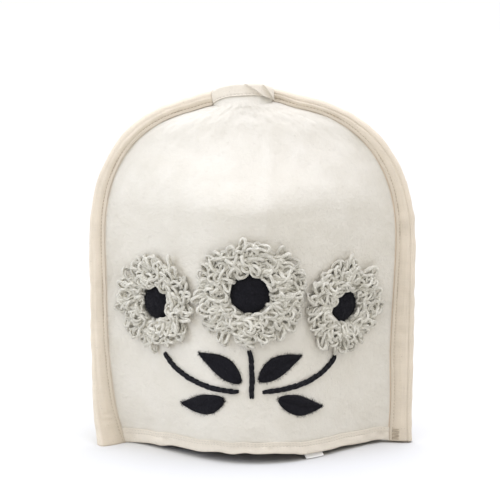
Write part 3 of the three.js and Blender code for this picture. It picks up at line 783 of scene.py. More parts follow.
def layered(tree, tint, *layers):
    """A tint with layers of other colours over it: each has the field that places it, the low and high
    end of that field's range, the layer's share at both ends, and its colour."""
    for field, low, high, start, end, colour in layers:
        tint = blend_colour(tree, ramp(tree, field, low, high, start, end), tint, colour)
    return tint


def bump(tree, height, strength, distance, below=None):
    """The normal of a surface raised by a height, on top of the bumps below it."""
    values = {"Height": height, "Strength": strength, "Distance": distance}
    if below is not None:
        values["Normal"] = below
    return node(tree, "ShaderNodeBump", values).outputs["Normal"]


def shade(colour, factor):
    """A colour made darker or lighter, with full alpha."""
    return (*(min(c * factor, 1.0) for c in colour), 1.0)


def warm(colour, factor):
    """A colour made darker, and more so in its blue."""
    return tuple(c * kept for c, kept in zip(shade(colour, factor), WARMTH))


def fibre_field(tree, source):
    """Matted fibres: three noises, each drawn into streaks and turned another way; the highest shows."""
    streaks = None
    for turn, scale in STREAKS:
        turned = stretched(tree, source, scale, (turn, turn * STREAK_TILT, turn))
        streak = noise(tree, turned, roughness=0.55)
        streaks = streak if streaks is None else maths(tree, "MAXIMUM", streaks, streak)
    return streaks


def felt_material():
    """Off-white fulled wool: cloudy patches, pale fibres on top of duller ones, soft pits that are
    deepest below the shoulder, a sheen, and painted shade: a darker, browner colour on the inner face and
    in the creases by the seams."""
    colour = colours().felt
    material, tree = new_material("wool felt")
    here = place(tree)
    clouds = noise(tree, here, 42.0, 4.0, 0.55)
    streaks = fibre_field(tree, here)
    pits = noise(tree, here, 260.0, 4.0, 0.6)
    tint = blend_colour(tree, ramp(tree, clouds, *NOISE_RANGE), warm(colour, 0.945), shade(colour, 1.03))
    # Painted shade: the darker, browner colour goes where the points' tone is 1 (the inner face) and in part
    # on the creases by the seams
    tint = blend_colour(tree, point_tone(tree), tint, shade(colours().felt_inside, 1.0))
    tint = layered(
        tree, tint,
        (streaks, 0.45, 0.8, 0.30, 0.0, shade(colour, 0.90)),
        (pits, 0.28, 0.42, 0.28, 0.0, shade(colour, 0.84)))
    depth = ramp(tree, axes(tree, here)["Z"], *FELT_WORN, 0.62, 0.20)
    normal = bump(tree, streaks, 0.42, 0.0007, bump(tree, pits, depth, 0.0016))
    return surface(material, tint, normal, roughness=0.94, specular=0.12, sheen=0.22, sheen_roughness=0.45)


def calico_material(name, colour, edge_shade):
    """Unbleached calico: warp and weft threads along the tape's UV, uneven thick threads, painted shade
    along the front leg by its stitched end, and a few dark flecks."""
    material, tree = new_material(name)
    here, flat = place(tree), place(tree, "UV")
    tape = axes(tree, flat)
    weave = maths(tree, "MULTIPLY", *(wave(tree, tape[axis], CALICO_PITCH) for axis in "XY"))
    slubs_along = noise(tree, stretched(tree, flat, (60, 1500, 1)))
    slubs_across = noise(tree, stretched(tree, flat, (1500, 60, 1)))
    slubs = maths(tree, "ADD", slubs_along, slubs_across)
    clouds = noise(tree, here, 55.0, 3.0, 0.55)
    flecks = noise(tree, here, 900.0)
    tint = blend_colour(tree, ramp(tree, clouds, *NOISE_RANGE), shade(colour, 0.94), shade(colour, 1.05))
    tint = layered(
        tree, tint,
        (slubs, 0.8, 1.25, 0.0, 0.35, shade(colour, 1.12)),
        (weave, -1.0, 0.2, 0.22, 0.0, shade(colour, 0.78)),
        # painted shade: darker and warmer near the front leg's stitched end
        (tape["Y"], 0.0, CALICO_SHADE_REACH, edge_shade, 0.0, warm(colour, 0.66)),
        (flecks, 0.68, 0.74, 0.0, 0.5, shade(colour, 0.55)))
    normal = bump(tree, weave, 0.30, 0.00018, bump(tree, slubs, 0.25, 0.0005))
    return surface(material, tint, normal, roughness=0.88, specular=0.2, sheen=0.12, sheen_roughness=0.5)


def twist(tree, plies, pitch):
    """Ridges of a plied strand: a sine of the share round times the plies, plus the length over pitch."""
    flat = axes(tree, place(tree, "UV"))
    round_it = maths(tree, "MULTIPLY", flat["Y"], float(plies))
    turns = maths(tree, "ADD", round_it, maths(tree, "MULTIPLY", flat["X"], 1 / pitch))
    return wave(tree, turns, 1.0)


def yarn_material():
    """Heathered loop yarn: each loop's own tone, grey and cream fibres, and a soft two-ply twist."""
    material, tree = new_material("loop yarn")
    here = place(tree)
    heather = noise(tree, here, 420.0, 4.0, 0.6)
    hairs = fibre_field(tree, here)
    ply = twist(tree, YARN_PLIES, YARN_PITCH)
    # The pad under the loops carries a low tone, as painted shade between the loops
    own_tone = maths(tree, "MULTIPLY", point_tone(tree), YARN_TONE)
    share = maths(tree, "ADD", own_tone, ramp(tree, heather, *NOISE_RANGE, -0.16, 0.34))
    tint = blend_colour(tree, share, shade(colours().yarn_dark, 1.0), shade(colours().yarn_light, 1.0))
    tint = layered(tree, tint, (ply, -1.0, -0.2, 0.35, 0.0, shade(colours().yarn_dark, 0.9)))
    normal = bump(tree, hairs, 0.35, 0.0006, bump(tree, ply, 0.55, 0.0007))
    return surface(material, tint, normal, roughness=0.92, specular=0.12, sheen=0.25, sheen_roughness=0.4)


def black_felt_material():
    """Needled black wool: faint fibres a little paler than the ground, soft pits and a slight sheen."""
    colour = colours().black
    material, tree = new_material("black needle felt")
    here = place(tree)
    streaks = fibre_field(tree, here)
    pits = noise(tree, here, 520.0, 4.0, 0.6)
    tint = layered(tree, shade(colour, 0.8), (streaks, 0.5, 0.8, 0.0, 0.7, shade(colour, 2.4)))
    normal = bump(tree, streaks, 0.45, 0.0007, bump(tree, pits, 0.5, 0.0012))
    return surface(material, tint, normal, roughness=0.95, specular=0.15, sheen=0.05, sheen_roughness=0.4)


def black_yarn_material():
    """Plied black yarn of the stems: a two-ply twist and faint paler fibres."""
    colour = colours().black
    material, tree = new_material("black yarn")
    ply = twist(tree, YARN_PLIES, STEM_PITCH)
    hairs = fibre_field(tree, place(tree))
    tint = layered(tree, shade(colour, 0.8), (hairs, 0.5, 0.8, 0.0, 0.7, shade(colour, 2.6)))
    normal = bump(tree, hairs, 0.3, 0.0005, bump(tree, ply, 0.7, 0.0006))
    return surface(material, tint, normal, roughness=0.9, specular=0.2, sheen=0.05)


def thread_material(name, cloth_colour, factor=1.0):
    """Sewing thread with its fine twist, in a colour made darker by a factor."""
    material, tree = new_material(name)
    colour = shade(cloth_colour, factor)[:3]
    ply = twist(tree, THREAD_PLIES, THREAD_PITCH)
    tint = layered(tree, shade(colour, 0.8), (ply, -1.0, 1.0, 0.0, 1.0, shade(colour, 1.1)))
    return surface(material, tint, bump(tree, ply, 0.4, 0.0001), roughness=0.7, specular=0.3)


def tab_material():
    """White woven tape: fine ribs across it and a soft, uneven weave."""
    colour = colours().tab
    material, tree = new_material("white tape")
    flat = place(tree, "UV")
    ribs = wave(tree, axes(tree, flat)["Y"], RIB_PITCH)
    weave = noise(tree, stretched(tree, flat, (2200, 500, 1)))
    tint = blend_colour(tree, ramp(tree, weave, *NOISE_RANGE), shade(colour, 0.94), shade(colour, 1.04))
    normal = bump(tree, ribs, 0.3, 0.0002, bump(tree, weave, 0.2, 0.0003))
    return surface(material, tint, normal, roughness=0.7, sheen=0.1)


def floor_material():
    """Pale studio floor with a barely uneven tone."""
    colour = colours().floor
    material, tree = new_material("studio floor")
    clouds = noise(tree, place(tree), 6.0)
    tint = blend_colour(tree, clouds, shade(colour, 0.995), shade(colour, 1.005))
    return surface(material, tint, roughness=0.9, specular=0.0)


@lru_cache(maxsize=None)
def finish(cloth):
    """One material for each kind of cloth, made when it is first asked for."""
    makers = {
        "felt": felt_material,
        # Each calico takes its own strength of painted shade by the front leg's stitched end
        "calico": lambda: calico_material("unbleached calico", colours().calico, SEAM_EDGE_SHADE),
        # painted light: the hem and slot tapes take the lighter copy of the calico
        "pale_calico": lambda: calico_material("pale calico", colours().pale_calico, HEM_EDGE_SHADE),
        "thread": lambda: thread_material("sewing thread", colours().thread),
        "pale_thread": lambda: thread_material("pale thread", colours().pale_calico, PALE_THREAD),
        "yarn": yarn_material,
        "black_felt": black_felt_material,
        "black_yarn": black_yarn_material,
        "tab": tab_material,
        "floor": floor_material,
    }
    return makers[cloth]()


# Felt panels

PANEL_ROWS = 150
PANEL_COLUMNS = 150
FLANGE_STEPS = 5
COLUMN_CROWDING = 0.25  # columns crowd towards the seams
FELT_LUMP = 0.00016
FELT_LUMP_SIZES = (2.2, 2.2)  # in grid steps, as all sizes of lumps and puckers
FELT_PIT = 0.00006
FELT_PIT_SIZES = (0.8, 0.8)
# Painted shade: share of the darker, browner inner-face colour laid on the felt in the creases at the seams
FELT_CREASE_SHADES = (0.45, 1.0)  # tone of the felt in the creases at the left and right seams
FUZZ_LENGTH = 0.0026


def felt_grid(panel):
    """Points and cells of a panel's outer face: rows from the hem to the slot with a flange at each
    side, and above them a lip whose ends share the flanges' top points."""
    u = np.linspace(0, 1, PANEL_COLUMNS + 1)
    share = u - COLUMN_CROWDING * np.sin(2 * np.pi * u) / (2 * np.pi)
    along = np.linspace(along_at(EDGE_INSET), 1, PANEL_ROWS + 1)[:, None]
    out = np.linspace(0, 1, FLANGE_STEPS + 1)[1:]
    left = flange_face(panel, "left", along, out[::-1])
    right = flange_face(panel, "right", along, out)
    main = np.concatenate([left, panel_point(panel, along, share), right], axis=1)
    index = np.arange(main[..., 0].size).reshape(main.shape[:2])
    lip = lip_point(panel, share[None, 1:-1], out[:, None])
    lip_index = index.size + np.arange(lip[..., 0].size).reshape(lip.shape[:2])
    top = index[-1]
    ends_left = top[FLANGE_STEPS - 1::-1][:, None]
    ends_right = top[-FLANGE_STEPS:][:, None]
    rows = np.concatenate([ends_left, lip_index, ends_right], axis=1)
    rows = np.concatenate([top[None, FLANGE_STEPS:-FLANGE_STEPS], rows], axis=0)
    points = np.concatenate([main.reshape(-1, 3), lip.reshape(-1, 3)])
    return points, np.concatenate([grid_quads(index), grid_quads(rows)]), index.shape


def felt_panel(panel):
    """A panel as a closed sheet of felt: its outer face, uneven by a soft noise along its normals, and
    an inner one a felt's thickness behind it, with loose fibres standing on the outer face."""
    points, cells, counts = felt_grid(panel)
    normals = point_normals(points, cells) * -panel.face
    lumps = FELT_LUMP * soft_noise(panel.seed, counts, FELT_LUMP_SIZES)
    lumps += FELT_PIT * soft_noise(panel.seed + PANEL_PIT_SEED, counts, FELT_PIT_SIZES)
    uneven = np.zeros(len(points))
    uneven[: lumps.size] = lumps.ravel()
    outer = points + normals * uneven[:, None]
    points, quads = closed_pair(outer, points - normals * shape().felt, cells)
    # Painted shade: the felt's columns by the seams take part of the darker, browner inner-face colour
    crease = np.zeros(counts)
    crease[:, : FLANGE_STEPS + 1], crease[:, -FLANGE_STEPS - 1:] = FELT_CREASE_SHADES
    # Painted shade: the inner face takes all of the darker, browner colour
    tone = np.ones(len(points))
    tone[: len(outer)] = 0.0
    tone[: crease.size] = crease.ravel()
    piece = add_piece(f"felt_{panel.name}", points, quads, "felt", tone=tone)
    dress(piece, "felt", f"{panel.name}_panel")
    rng = np.random.default_rng(panel.seed + PANEL_FUZZ_SEED)
    spread = rng.integers(0, lumps.size, sewing().fuzz)
    hairs, hair_quads, _ = fibres(outer[spread], normals[spread], rng, FUZZ_LENGTH)
    dress(add_piece(f"fuzz_{panel.name}", hairs, hair_quads, "felt"), "felt")


class COSY_OT_felt_panels(bpy.types.Operator):
    """Make the two felt panels"""

    bl_idname = "cosy.felt_panels"
    bl_label = "Felt panels"

    def execute(self, context):
        for panel in PANELS:
            felt_panel(panel)
        return {"FINISHED"}


# Seam bindings

SEAM_STATIONS = 240
SEAM_LEG_TIP = 0.0003  # the legs end this far outside the fold
SEAM_EDGE_ROUND = 0.0030
SEAM_LEG_STEPS = 24
SEAM_ROUND_STEPS = 6
SEAM_STITCH_IN = 0.0026  # the stitch line lies this far from the leg's end
SEAM_PUFF = 0.0006  # the padded swell between the stitch line and the edge
SEAM_PUFF_POWER = 1.25  # above 1 the swell is highest beyond its middle
GROOVE = 0.00045  # how deep the stitches draw the tape in
GROOVE_WIDTH = 0.00032
PUCKER = 0.00026
PUCKER_SIZES = (2.4, 1)
EDGE_WANDER = 0.0002
SEAM_RIB = 0.00007  # faint ribs along the tape
SEAM_RIB_PITCH = 0.0036
SEAM_RIMS = {"left": 0.00015, "right": 0.0007}  # depth of the line that the folded edge leaves
SEAM_RIM_IN = 0.0006  # that line lies this far inside the rounded edge
# Creases across a seam's tape, listed one by one: height above the floor at the fold, slant, spread and
# depth
SEAM_CREASES = {
    "left": table(
        "height slant spread depth",
        (0.0180, 0.10, 0.0011, 0.0010),
        (0.0240, -0.05, 0.0013, 0.0006),
        (0.0420, -0.15, 0.0016, 0.0003),
        (0.1900, 0.10, 0.0020, 0.0003),
    ),
    "right": table(
        "height slant spread depth",
        (0.0330, 0.10, 0.0016, 0.0003),
        (0.0900, -0.20, 0.0020, 0.0003),
        (0.2050, 0.20, 0.0020, 0.0003),
    ),
}


def seam_half():
    """From the seam plane to the tape's outer face."""
    return outer_face() + TAPE_HUG + shape().tape


def seam_profile():
    """The tape's path round the flange: share of the leg, how far round the edge (cosine and sine) and
    which half, from the front leg's end round the edge to the back leg's end."""
    leg = np.linspace(0, 1, SEAM_LEG_STEPS + 1)
    angle = np.linspace(-np.pi / 2, 0, SEAM_ROUND_STEPS + 1)[1:]
    share = np.concatenate([leg, np.ones(len(angle))])
    cosine = np.concatenate([np.zeros(len(leg)), np.cos(angle)])
    sine = np.concatenate([-np.ones(len(leg)), np.sin(angle)])
    half = -np.ones(len(share))
    return mirrored(share), mirrored(cosine), mirrored(sine, -1), mirrored(half, -1)


def seam_swell(side, inside, reach, climb):
    """Swell of a leg's face at a distance from its end and a height up the seam: a half sine to the edge
    with faint ribs along it, less a bell at the stitch line, at the rim's line and at each crease."""
    free = np.clip((inside - SEAM_STITCH_IN) / (reach - SEAM_STITCH_IN), 0, 1)
    swell = SEAM_PUFF * np.sin(np.pi * free**SEAM_PUFF_POWER)
    swell = swell + SEAM_RIB * free * np.sin(2 * np.pi * inside / SEAM_RIB_PITCH)
    swell = swell - GROOVE * bell(inside - SEAM_STITCH_IN, GROOVE_WIDTH)
    swell = swell - SEAM_RIMS[side] * bell(reach - inside - SEAM_RIM_IN, GROOVE_WIDTH)
    for height, slant, spread, depth in zip(*SEAM_CREASES[side].values()):
        swell = swell - depth * np.sin(np.pi * free) * bell(climb - height - slant * inside, spread)
    return swell


def seam_tape(side, along, share, cosine, sine, half, inset, pucker):
    """Point of a seam's tape: the leg's share of the way to the rounded edge, then round it; inset is 0
    on the outer face and the tape's thickness on the inner one."""
    rounding = SEAM_EDGE_ROUND - inset
    reach = flange_width(side, along) - SEAM_EDGE_ROUND - SEAM_LEG_TIP
    distance = SEAM_LEG_TIP + reach * share + rounding * cosine
    height = half * (seam_half() - SEAM_EDGE_ROUND) + rounding * sine
    if inset == 0:
        on_leg = 1 - cosine
        climb = outline_at(side, along)[1]
        swell = seam_swell(side, reach * share, reach, climb) + pucker * np.sin(np.pi * share)
        height = height + half * on_leg * swell
        distance = distance + EDGE_WANDER * pucker / PUCKER * cosine
    return flange_point(side, along, distance, height)


def seam_binding(side):
    """A seam's folded tape from the floor to the slot; its puckers die away at its stitches and edge."""
    along = np.linspace(0, 1, SEAM_STATIONS + 1)[:, None]
    profile = seam_profile()
    pucker = PUCKER * soft_noise(SEAM_SEEDS[side], (SEAM_STATIONS + 1, 1), PUCKER_SIZES)
    faces = [seam_tape(side, along, *profile, inset, pucker) for inset in (0, shape().tape)]
    tape_piece(f"seam_tape_{side}", faces, len(profile[0]) // 2, "calico", f"seam_binding_{side}")


class COSY_OT_seam_bindings(bpy.types.Operator):
    """Make the folded tapes over the two side seams"""

    bl_idname = "cosy.seam_bindings"
    bl_label = "Seam bindings"

    def execute(self, context):
        for side in SIGNS:
            seam_binding(side)
        return {"FINISHED"}


# Hem and slot bindings

HEM_STATIONS = 260
SLOT_STATIONS = 130
SLOT_START = 0.012  # share of the slot left free at each end
BAND_LEG_STEPS = 16
BAND_ROUND_STEPS = 4
BAND_ROUND = 0.0014
BAND_PUFF = 0.00035
BAND_PUFF_POWER = 0.7  # below 1 the swell is highest near the edge
BAND_GROOVE = 0.0003
BAND_INNER = 0.9  # share of the tape's thickness at which its inner face is drawn
HEM_STITCHES = (0.0016, 0.0040)  # stitch lines below the binding's upper edge
SLOT_STITCHES = (0.0013,)
HEM_PUCKER = 0.0003
HEM_PUCKER_SIZES = (2.2, 1)
HEM_ROOM = 1.0  # more than the hem's tape ever takes up behind the felt
# Diagonal folds of the front slot's tape: where each leaves the upper edge, its slant and its step
SLOT_FOLDS = table("x slant step", (-0.0060, 1.5, 0.0019), (0.0070, 0.85, 0.0021))
SLOT_FOLD_WIDTH = 0.0004
SLOT_FOLD_FADE = 0.009  # past a fold its step dies away over this distance
SLOT_CLEAR = 0.00005


def band_profile(height):
    """A binding's path round a free edge, from the outer leg's end to the inner leg's end: distance from
    the folded edge, how far the turn has rounded it over, and which side of the felt it is on."""
    leg = np.linspace(height, BAND_ROUND, BAND_LEG_STEPS + 1)
    angle = np.linspace(0, np.pi / 2, BAND_ROUND_STEPS + 1)[1:]
    rise = np.concatenate([leg, BAND_ROUND * (1 - np.sin(angle))])
    turn = np.concatenate([np.zeros(len(leg)), 1 - np.cos(angle)])
    return mirrored(rise), mirrored(turn), mirrored(np.ones(len(rise)), -1)


def band_free(rise, height, stitches):
    """Share of the way from a band's folded edge to its nearest stitch line."""
    return np.clip(rise / (height - max(stitches)), 0, 1)


def band_swell(rise, height, stitches):
    """Swell of a band's face: a half sine from its edge to its stitches, less a bell at each line."""
    swell = BAND_PUFF * np.sin(np.pi * band_free(rise, height, stitches) ** BAND_PUFF_POWER)
    for line in stitches:
        swell = swell - BAND_GROOVE * bell(rise - height + line, GROOVE_WIDTH)
    return swell


def hem_base(panel, share, rise):
    """The felt's outer face at a height above the hem tape's lower edge, carried straight down below it."""
    point = panel_point(panel, along_at(np.maximum(rise, EDGE_INSET)), share)
    return point + np.minimum(rise - EDGE_INSET, 0)[..., None] * UPWARD


def slot_base(panel, share, rise):
    """The lip's outer face at a depth below the slot tape's upper edge, carried straight up above it."""
    lip = flange_width("left", 1.0) - EDGE_INSET + lip_rise(panel, share)
    point = lip_point(panel, share, 1 - np.maximum(rise - EDGE_INSET, 0) / lip)
    return point - np.minimum(rise - EDGE_INSET, 0)[..., None] * UPWARD


def band_outward(edge, face):
    """Level directions across a band, at right angles to its edge."""
    run = np.gradient(edge, axis=0) * LEVEL
    return unit(np.stack([-face * run[..., 1], face * run[..., 0], np.zeros(run.shape[:-1])], -1))


def band_point(base, outward, turn, side, inset, room, swell):
    """Point of a band: on the felt's outer face plus the tape, or behind the felt by the room there is,
    with the edge rounded over by the turn."""
    felt = shape().felt
    out = TAPE_HUG + shape().tape - inset + swell
    back = -felt - np.minimum(TAPE_HUG + shape().tape - inset, room)
    middle = -felt / 2
    reach = np.where(side > 0, out - turn * np.minimum(BAND_ROUND, out - middle),
                     back + turn * np.minimum(BAND_ROUND, middle - back))
    return base + outward * reach[..., None]


def edge_band(edge_name, panel, base_at, share, height, stitches, extra, room):
    """A folded tape on a panel's hem or slot, by the path of its section at each station along the edge;
    extra gives what its outer leg stands out by beyond its swell."""
    rise, turn, side = (v[None, :] for v in band_profile(height))
    stations = share[:, None]
    edge = base_at(panel, stations, np.full_like(stations, EDGE_INSET))
    outward = band_outward(edge, panel.face)
    faces = []
    for inset in (0.0, shape().tape * BAND_INNER):
        lifted = np.where(rise < height, np.maximum(rise, inset), rise)
        rises, shares = np.broadcast_arrays(lifted, stations)
        swell = np.where(side > 0, band_swell(rises, height, stitches), 0.0) if inset == 0 else 0.0
        points = band_point(base_at(panel, shares, rises), outward, turn, side, inset, room, swell)
        faces.append(points + outward * (extra(rises) * (side > 0))[..., None])
    tape_piece(f"{edge_name}_tape_{panel.name}", faces, BAND_LEG_STEPS, "pale_calico",
               f"{edge_name}_binding_{panel.name}")


def hem_binding(panel):
    """The hem's tape, puckered by a soft noise that dies away at its stitches and its edge."""
    share = np.linspace(0, 1, HEM_STATIONS + 1)
    noise_seed = panel.seed + PANEL_HEM_SEED
    pucker = HEM_PUCKER * soft_noise(noise_seed, (HEM_STATIONS + 1, 1), HEM_PUCKER_SIZES)
    height = shape().hem_height

    def extra(rise):
        return pucker * np.sin(np.pi * band_free(rise, height, HEM_STITCHES))

    edge_band("hem", panel, hem_base, share, height, HEM_STITCHES, extra, HEM_ROOM)


def slot_binding(panel):
    """A lip's tape; each fold of the front one is a smooth step at a slanting line, dying away past it."""
    share = np.linspace(SLOT_START, 1 - SLOT_START, SLOT_STATIONS + 1)
    x = lip_point(panel, share, 1.0)[:, 0]

    def extra(rise):
        total = np.zeros(rise.shape)
        if panel is FRONT:
            for start, slant, step in zip(*SLOT_FOLDS.values()):
                past = x[:, None] - start - slant * rise
                over = smoothstep(-SLOT_FOLD_WIDTH, SLOT_FOLD_WIDTH, past)
                total = total + step * over * np.exp(-np.maximum(past, 0) / SLOT_FOLD_FADE)
        return total

    room = (SEAM_GAP / 2 + lip_parting(share))[:, None] - SLOT_CLEAR
    edge_band("slot", panel, slot_base, share, shape().lip_height, SLOT_STITCHES, extra, room)


class COSY_OT_edge_bindings(bpy.types.Operator):
    """Make the folded tapes on the hem and on the lips of the slot"""

    bl_idname = "cosy.edge_bindings"
    bl_label = "Hem and slot bindings"

    def execute(self, context):
        for panel in PANELS:
            hem_binding(panel)
            slot_binding(panel)
        return {"FINISHED"}


# Stitching

STITCH_STEPS = 5
STITCH_SHARE = 0.74  # of its pitch that a stitch shows
STITCH_ARCH = 0.00012
STITCH_LIFT = 0.4  # of its radius that a stitch's middle line lies above the tape
STITCH_DIVE = 2.2  # of its radius that its ends go down
STITCH_DIVE_POWER = 6
STITCH_END = 0.75  # share of the radius that its ends keep
SEAM_STITCH_START = 0.004  # shares of a seam, a hem or a slot that have no stitches at each end
HEM_STITCH_START = 0.012
SLOT_STITCH_START = 0.03
PATH_SAMPLES = 600
PROBE = 0.001  # a short step off a face that shows its normal
BACK_TACKS = 6
BACK_TACK_START = 0.0022
BACK_TACK_STEP = 0.0016
BACK_TACK_REACH = (0.0028, 0.0088)
BACK_TACK_SLANT = 0.0004
BACK_TACK_LIFT = 0.55  # share of the tape's swell that they lie on


def evenly(points, pitch, share):
    """Places of stitches along a path: each starts a pitch after the last and runs over a share of it."""
    length = path_length(points)
    count = int(length[-1] / pitch)
    starts = (np.arange(count) + (1 - share) / 2) * length[-1] / count
    steps = np.linspace(0, share * length[-1] / count, STITCH_STEPS)
    return np.interp(starts[:, None] + steps[None, :], length, np.linspace(0, 1, len(points)))


def thread_strands(paths, outward):
    """Stitches as short strands that rise along the outward way by a half sine and dive at both ends."""
    t = np.linspace(0, 1, STITCH_STEPS)
    radius = sewing().thread
    rise = radius * STITCH_LIFT + STITCH_ARCH * np.sin(np.pi * t)
    rise = rise - radius * STITCH_DIVE * np.abs(2 * t - 1) ** STITCH_DIVE_POWER
    radii = radius * np.broadcast_to(mix(STITCH_END, 1, np.sin(np.pi * t)), paths.shape[:2])
    binormals = np.cross(outward[:, STITCH_STEPS // 2], paths[:, -1] - paths[:, 0])
    return strands(paths + outward * rise[None, :, None], radii, binormals)


def seam_stitches(side, half):
    """The line of stitches on one face of a seam's tape, in the groove of its leg."""
    def at(along, height):
        return flange_point(side, along, SEAM_LEG_TIP + SEAM_STITCH_IN, half * height)

    ends = SEAM_STITCH_START, 1 - SEAM_STITCH_START
    groove = seam_half() - GROOVE
    places = evenly(at(np.linspace(*ends, PATH_SAMPLES), groove), sewing().stitch, STITCH_SHARE)
    along = mix(*ends, places)
    paths = at(along, groove)
    return thread_strands(paths, unit(at(along, seam_half()) - paths))


def band_stitches(panel, base_at, start, height, line):
    """A line of stitches on the outer face of a hem's or a slot's tape."""
    def at(share):
        return base_at(panel, share, np.full_like(share, height - line))

    grid = np.linspace(start, 1 - start, PATH_SAMPLES)
    outward = band_outward(at(grid), panel.face)
    share = mix(start, 1 - start, evenly(at(grid), sewing().stitch, STITCH_SHARE))
    across = np.stack([np.interp(share, grid, outward[:, k]) for k in range(3)], -1)
    paths = at(share) + across * (TAPE_HUG + shape().tape - BAND_GROOVE)
    return thread_strands(paths, unit(across))


def back_tacks():
    """Short stitches to and fro across the foot of the right seam's front leg."""
    rows = BACK_TACK_START + BACK_TACK_STEP * np.arange(BACK_TACKS)
    distance = np.linspace(*BACK_TACK_REACH, STITCH_STEPS)[None, :]
    ways = np.where(np.arange(BACK_TACKS) % 2, 1, -1)[:, None]
    slope = ways * np.linspace(-BACK_TACK_SLANT, BACK_TACK_SLANT, STITCH_STEPS)
    along = along_at(rows[:, None] + slope)
    height = -(seam_half() + SEAM_PUFF * BACK_TACK_LIFT)
    paths = flange_point("right", along, distance, height)
    higher = flange_point("right", along, distance, height - PROBE)
    return thread_strands(paths, unit(higher - paths))


class COSY_OT_stitching(bpy.types.Operator):
    """Make the machine stitches that hold the tapes"""

    bl_idname = "cosy.stitching"
    bl_label = "Stitching"

    def execute(self, context):
        seams = [seam_stitches(side, half) for side in SIGNS for half in (-1, 1)]
        strand_piece("seam_stitches", seams + [back_tacks()], "thread", "calico")
        hems = [band_stitches(panel, hem_base, HEM_STITCH_START, shape().hem_height, line)
                for panel in PANELS for line in HEM_STITCHES]
        strand_piece("hem_stitches", hems, "pale_thread", "calico")
        slots = [band_stitches(panel, slot_base, SLOT_STITCH_START, shape().lip_height, line)
                 for panel in PANELS for line in SLOT_STITCHES]
        strand_piece("slot_stitches", slots, "pale_thread", "calico")
        return {"FINISHED"}


# Flowers

MAP_STEP = 0.001
MAP_REACH = 0.135
MAP_TOP = 0.2
MAP_SHARES = 301
MAP_MARGIN = 1.001  # keeps a place inside the map's last cell


@lru_cache(maxsize=None)
def front_map():
    """The front felt's outer face and normals on a grid of its own flat measure: at each height the
    distance across is the arc length from the ridge."""
    heights = np.arange(0.0, MAP_TOP, MAP_STEP)
    across = np.arange(-MAP_REACH, MAP_REACH, MAP_STEP)
    shares = np.linspace(0, 1, MAP_SHARES)
    along = along_at(heights)[:, None]
    arc = path_length(panel_point(FRONT, along, shares))
    arc -= arc[:, MAP_SHARES // 2, None]
    found = np.array([np.interp(across, row, shares) for row in arc])
    points = panel_point(FRONT, along, found)
    normals = unit(np.cross(np.gradient(points, axis=1), np.gradient(points, axis=0)))
    return points, normals


def on_front(across, height, off):
    """Point standing a given height off the front felt, by the four nearest points of its map."""
    points, normals = front_map()
    row = np.clip(np.asarray(height) / MAP_STEP, 0, points.shape[0] - MAP_MARGIN)
    column = np.clip((np.asarray(across) + MAP_REACH) / MAP_STEP, 0, points.shape[1] - MAP_MARGIN)
    i, j = row.astype(int), column.astype(int)
    di, dj = (row - i)[..., None], (column - j)[..., None]

    def between(field):
        low = mix(field[i, j], field[i, j + 1], dj)
        high = mix(field[i + 1, j], field[i + 1, j + 1], dj)
        return mix(low, high, di)

    return between(points) + unit(between(normals)) * np.asarray(off)[..., None]


GOLDEN_ANGLE = math.pi * (3 - math.sqrt(5))
LOOP_STEPS = 14
LOOP_TURN = 0.9 * math.pi  # a loop's two ends lie this far round from its tip
LOOP_ROOT = 0.0009
LOOP_INNER = 0.0004  # the innermost roots lie this far outside the felt centre
LOOP_RIM = 0.0082  # the outermost roots lie this far inside the rim
LOOP_OVERLAP = 0.0006  # how far loops may reach over the felt centre
LOOP_DROOP = 0.30
LOOP_EGG = 0.3  # how much wider a loop is towards its tip
LOOP_SCATTER = 0.0007  # spread of the roots' distances from the middle
LOOP_SWING = 0.05  # spread of their angles
LOOP_RIMWARD = (0.55, 1.0)  # shares of the way out over which loops come to point to the rim
LOOP_CENTREWARD = (0.02, 0.2)  # shares over which those beside the centre stop pointing away from it
LOOP_STRAY = (1.6, 0.6)  # spread of the headings between those two edges, and at them
LOOP_LENGTHS = (0.7, 1.15)
LOOP_WIDTHS = (0.75, 1.25)
LOOP_LEANS = (18, 50)  # degrees off the felt
LOOP_RIM_LEANS = (10, 34)
LOOP_ROLL = 55  # degrees
LOOP_BEND = 0.3
LOOP_TONES = (2.2, 1.5)  # powers of the beta spread that the tones are drawn from
YARN_RADII = (0.85, 1.15)
YARN_UNEVEN = 0.10
PAD_RINGS = 14
PAD_STEPS = 72
PAD_HEIGHT = 0.0030
PAD_INNER = 0.0006  # the pad starts this far outside the felt centre
PAD_RIM = 0.0045  # and ends this far inside the rim
PAD_ARC = (0.1, 0.97)  # shares of a half sine wave that its dome runs over
PAD_LIFT = 0.0004
PAD_LEAST = 0.0003
PAD_LUMP_ACROSS = 0.0005
PAD_LUMP_UP = 0.0003
PAD_LUMP_SIZES = (1.0, 1.2)
# Painted shade: the pad's low tone puts it near the dark yarn, for the shade between the loops
PAD_SHADE_TONE = 0.18
SEWN_BASE = -0.0002  # a sewn piece's underside lies this far inside the felt


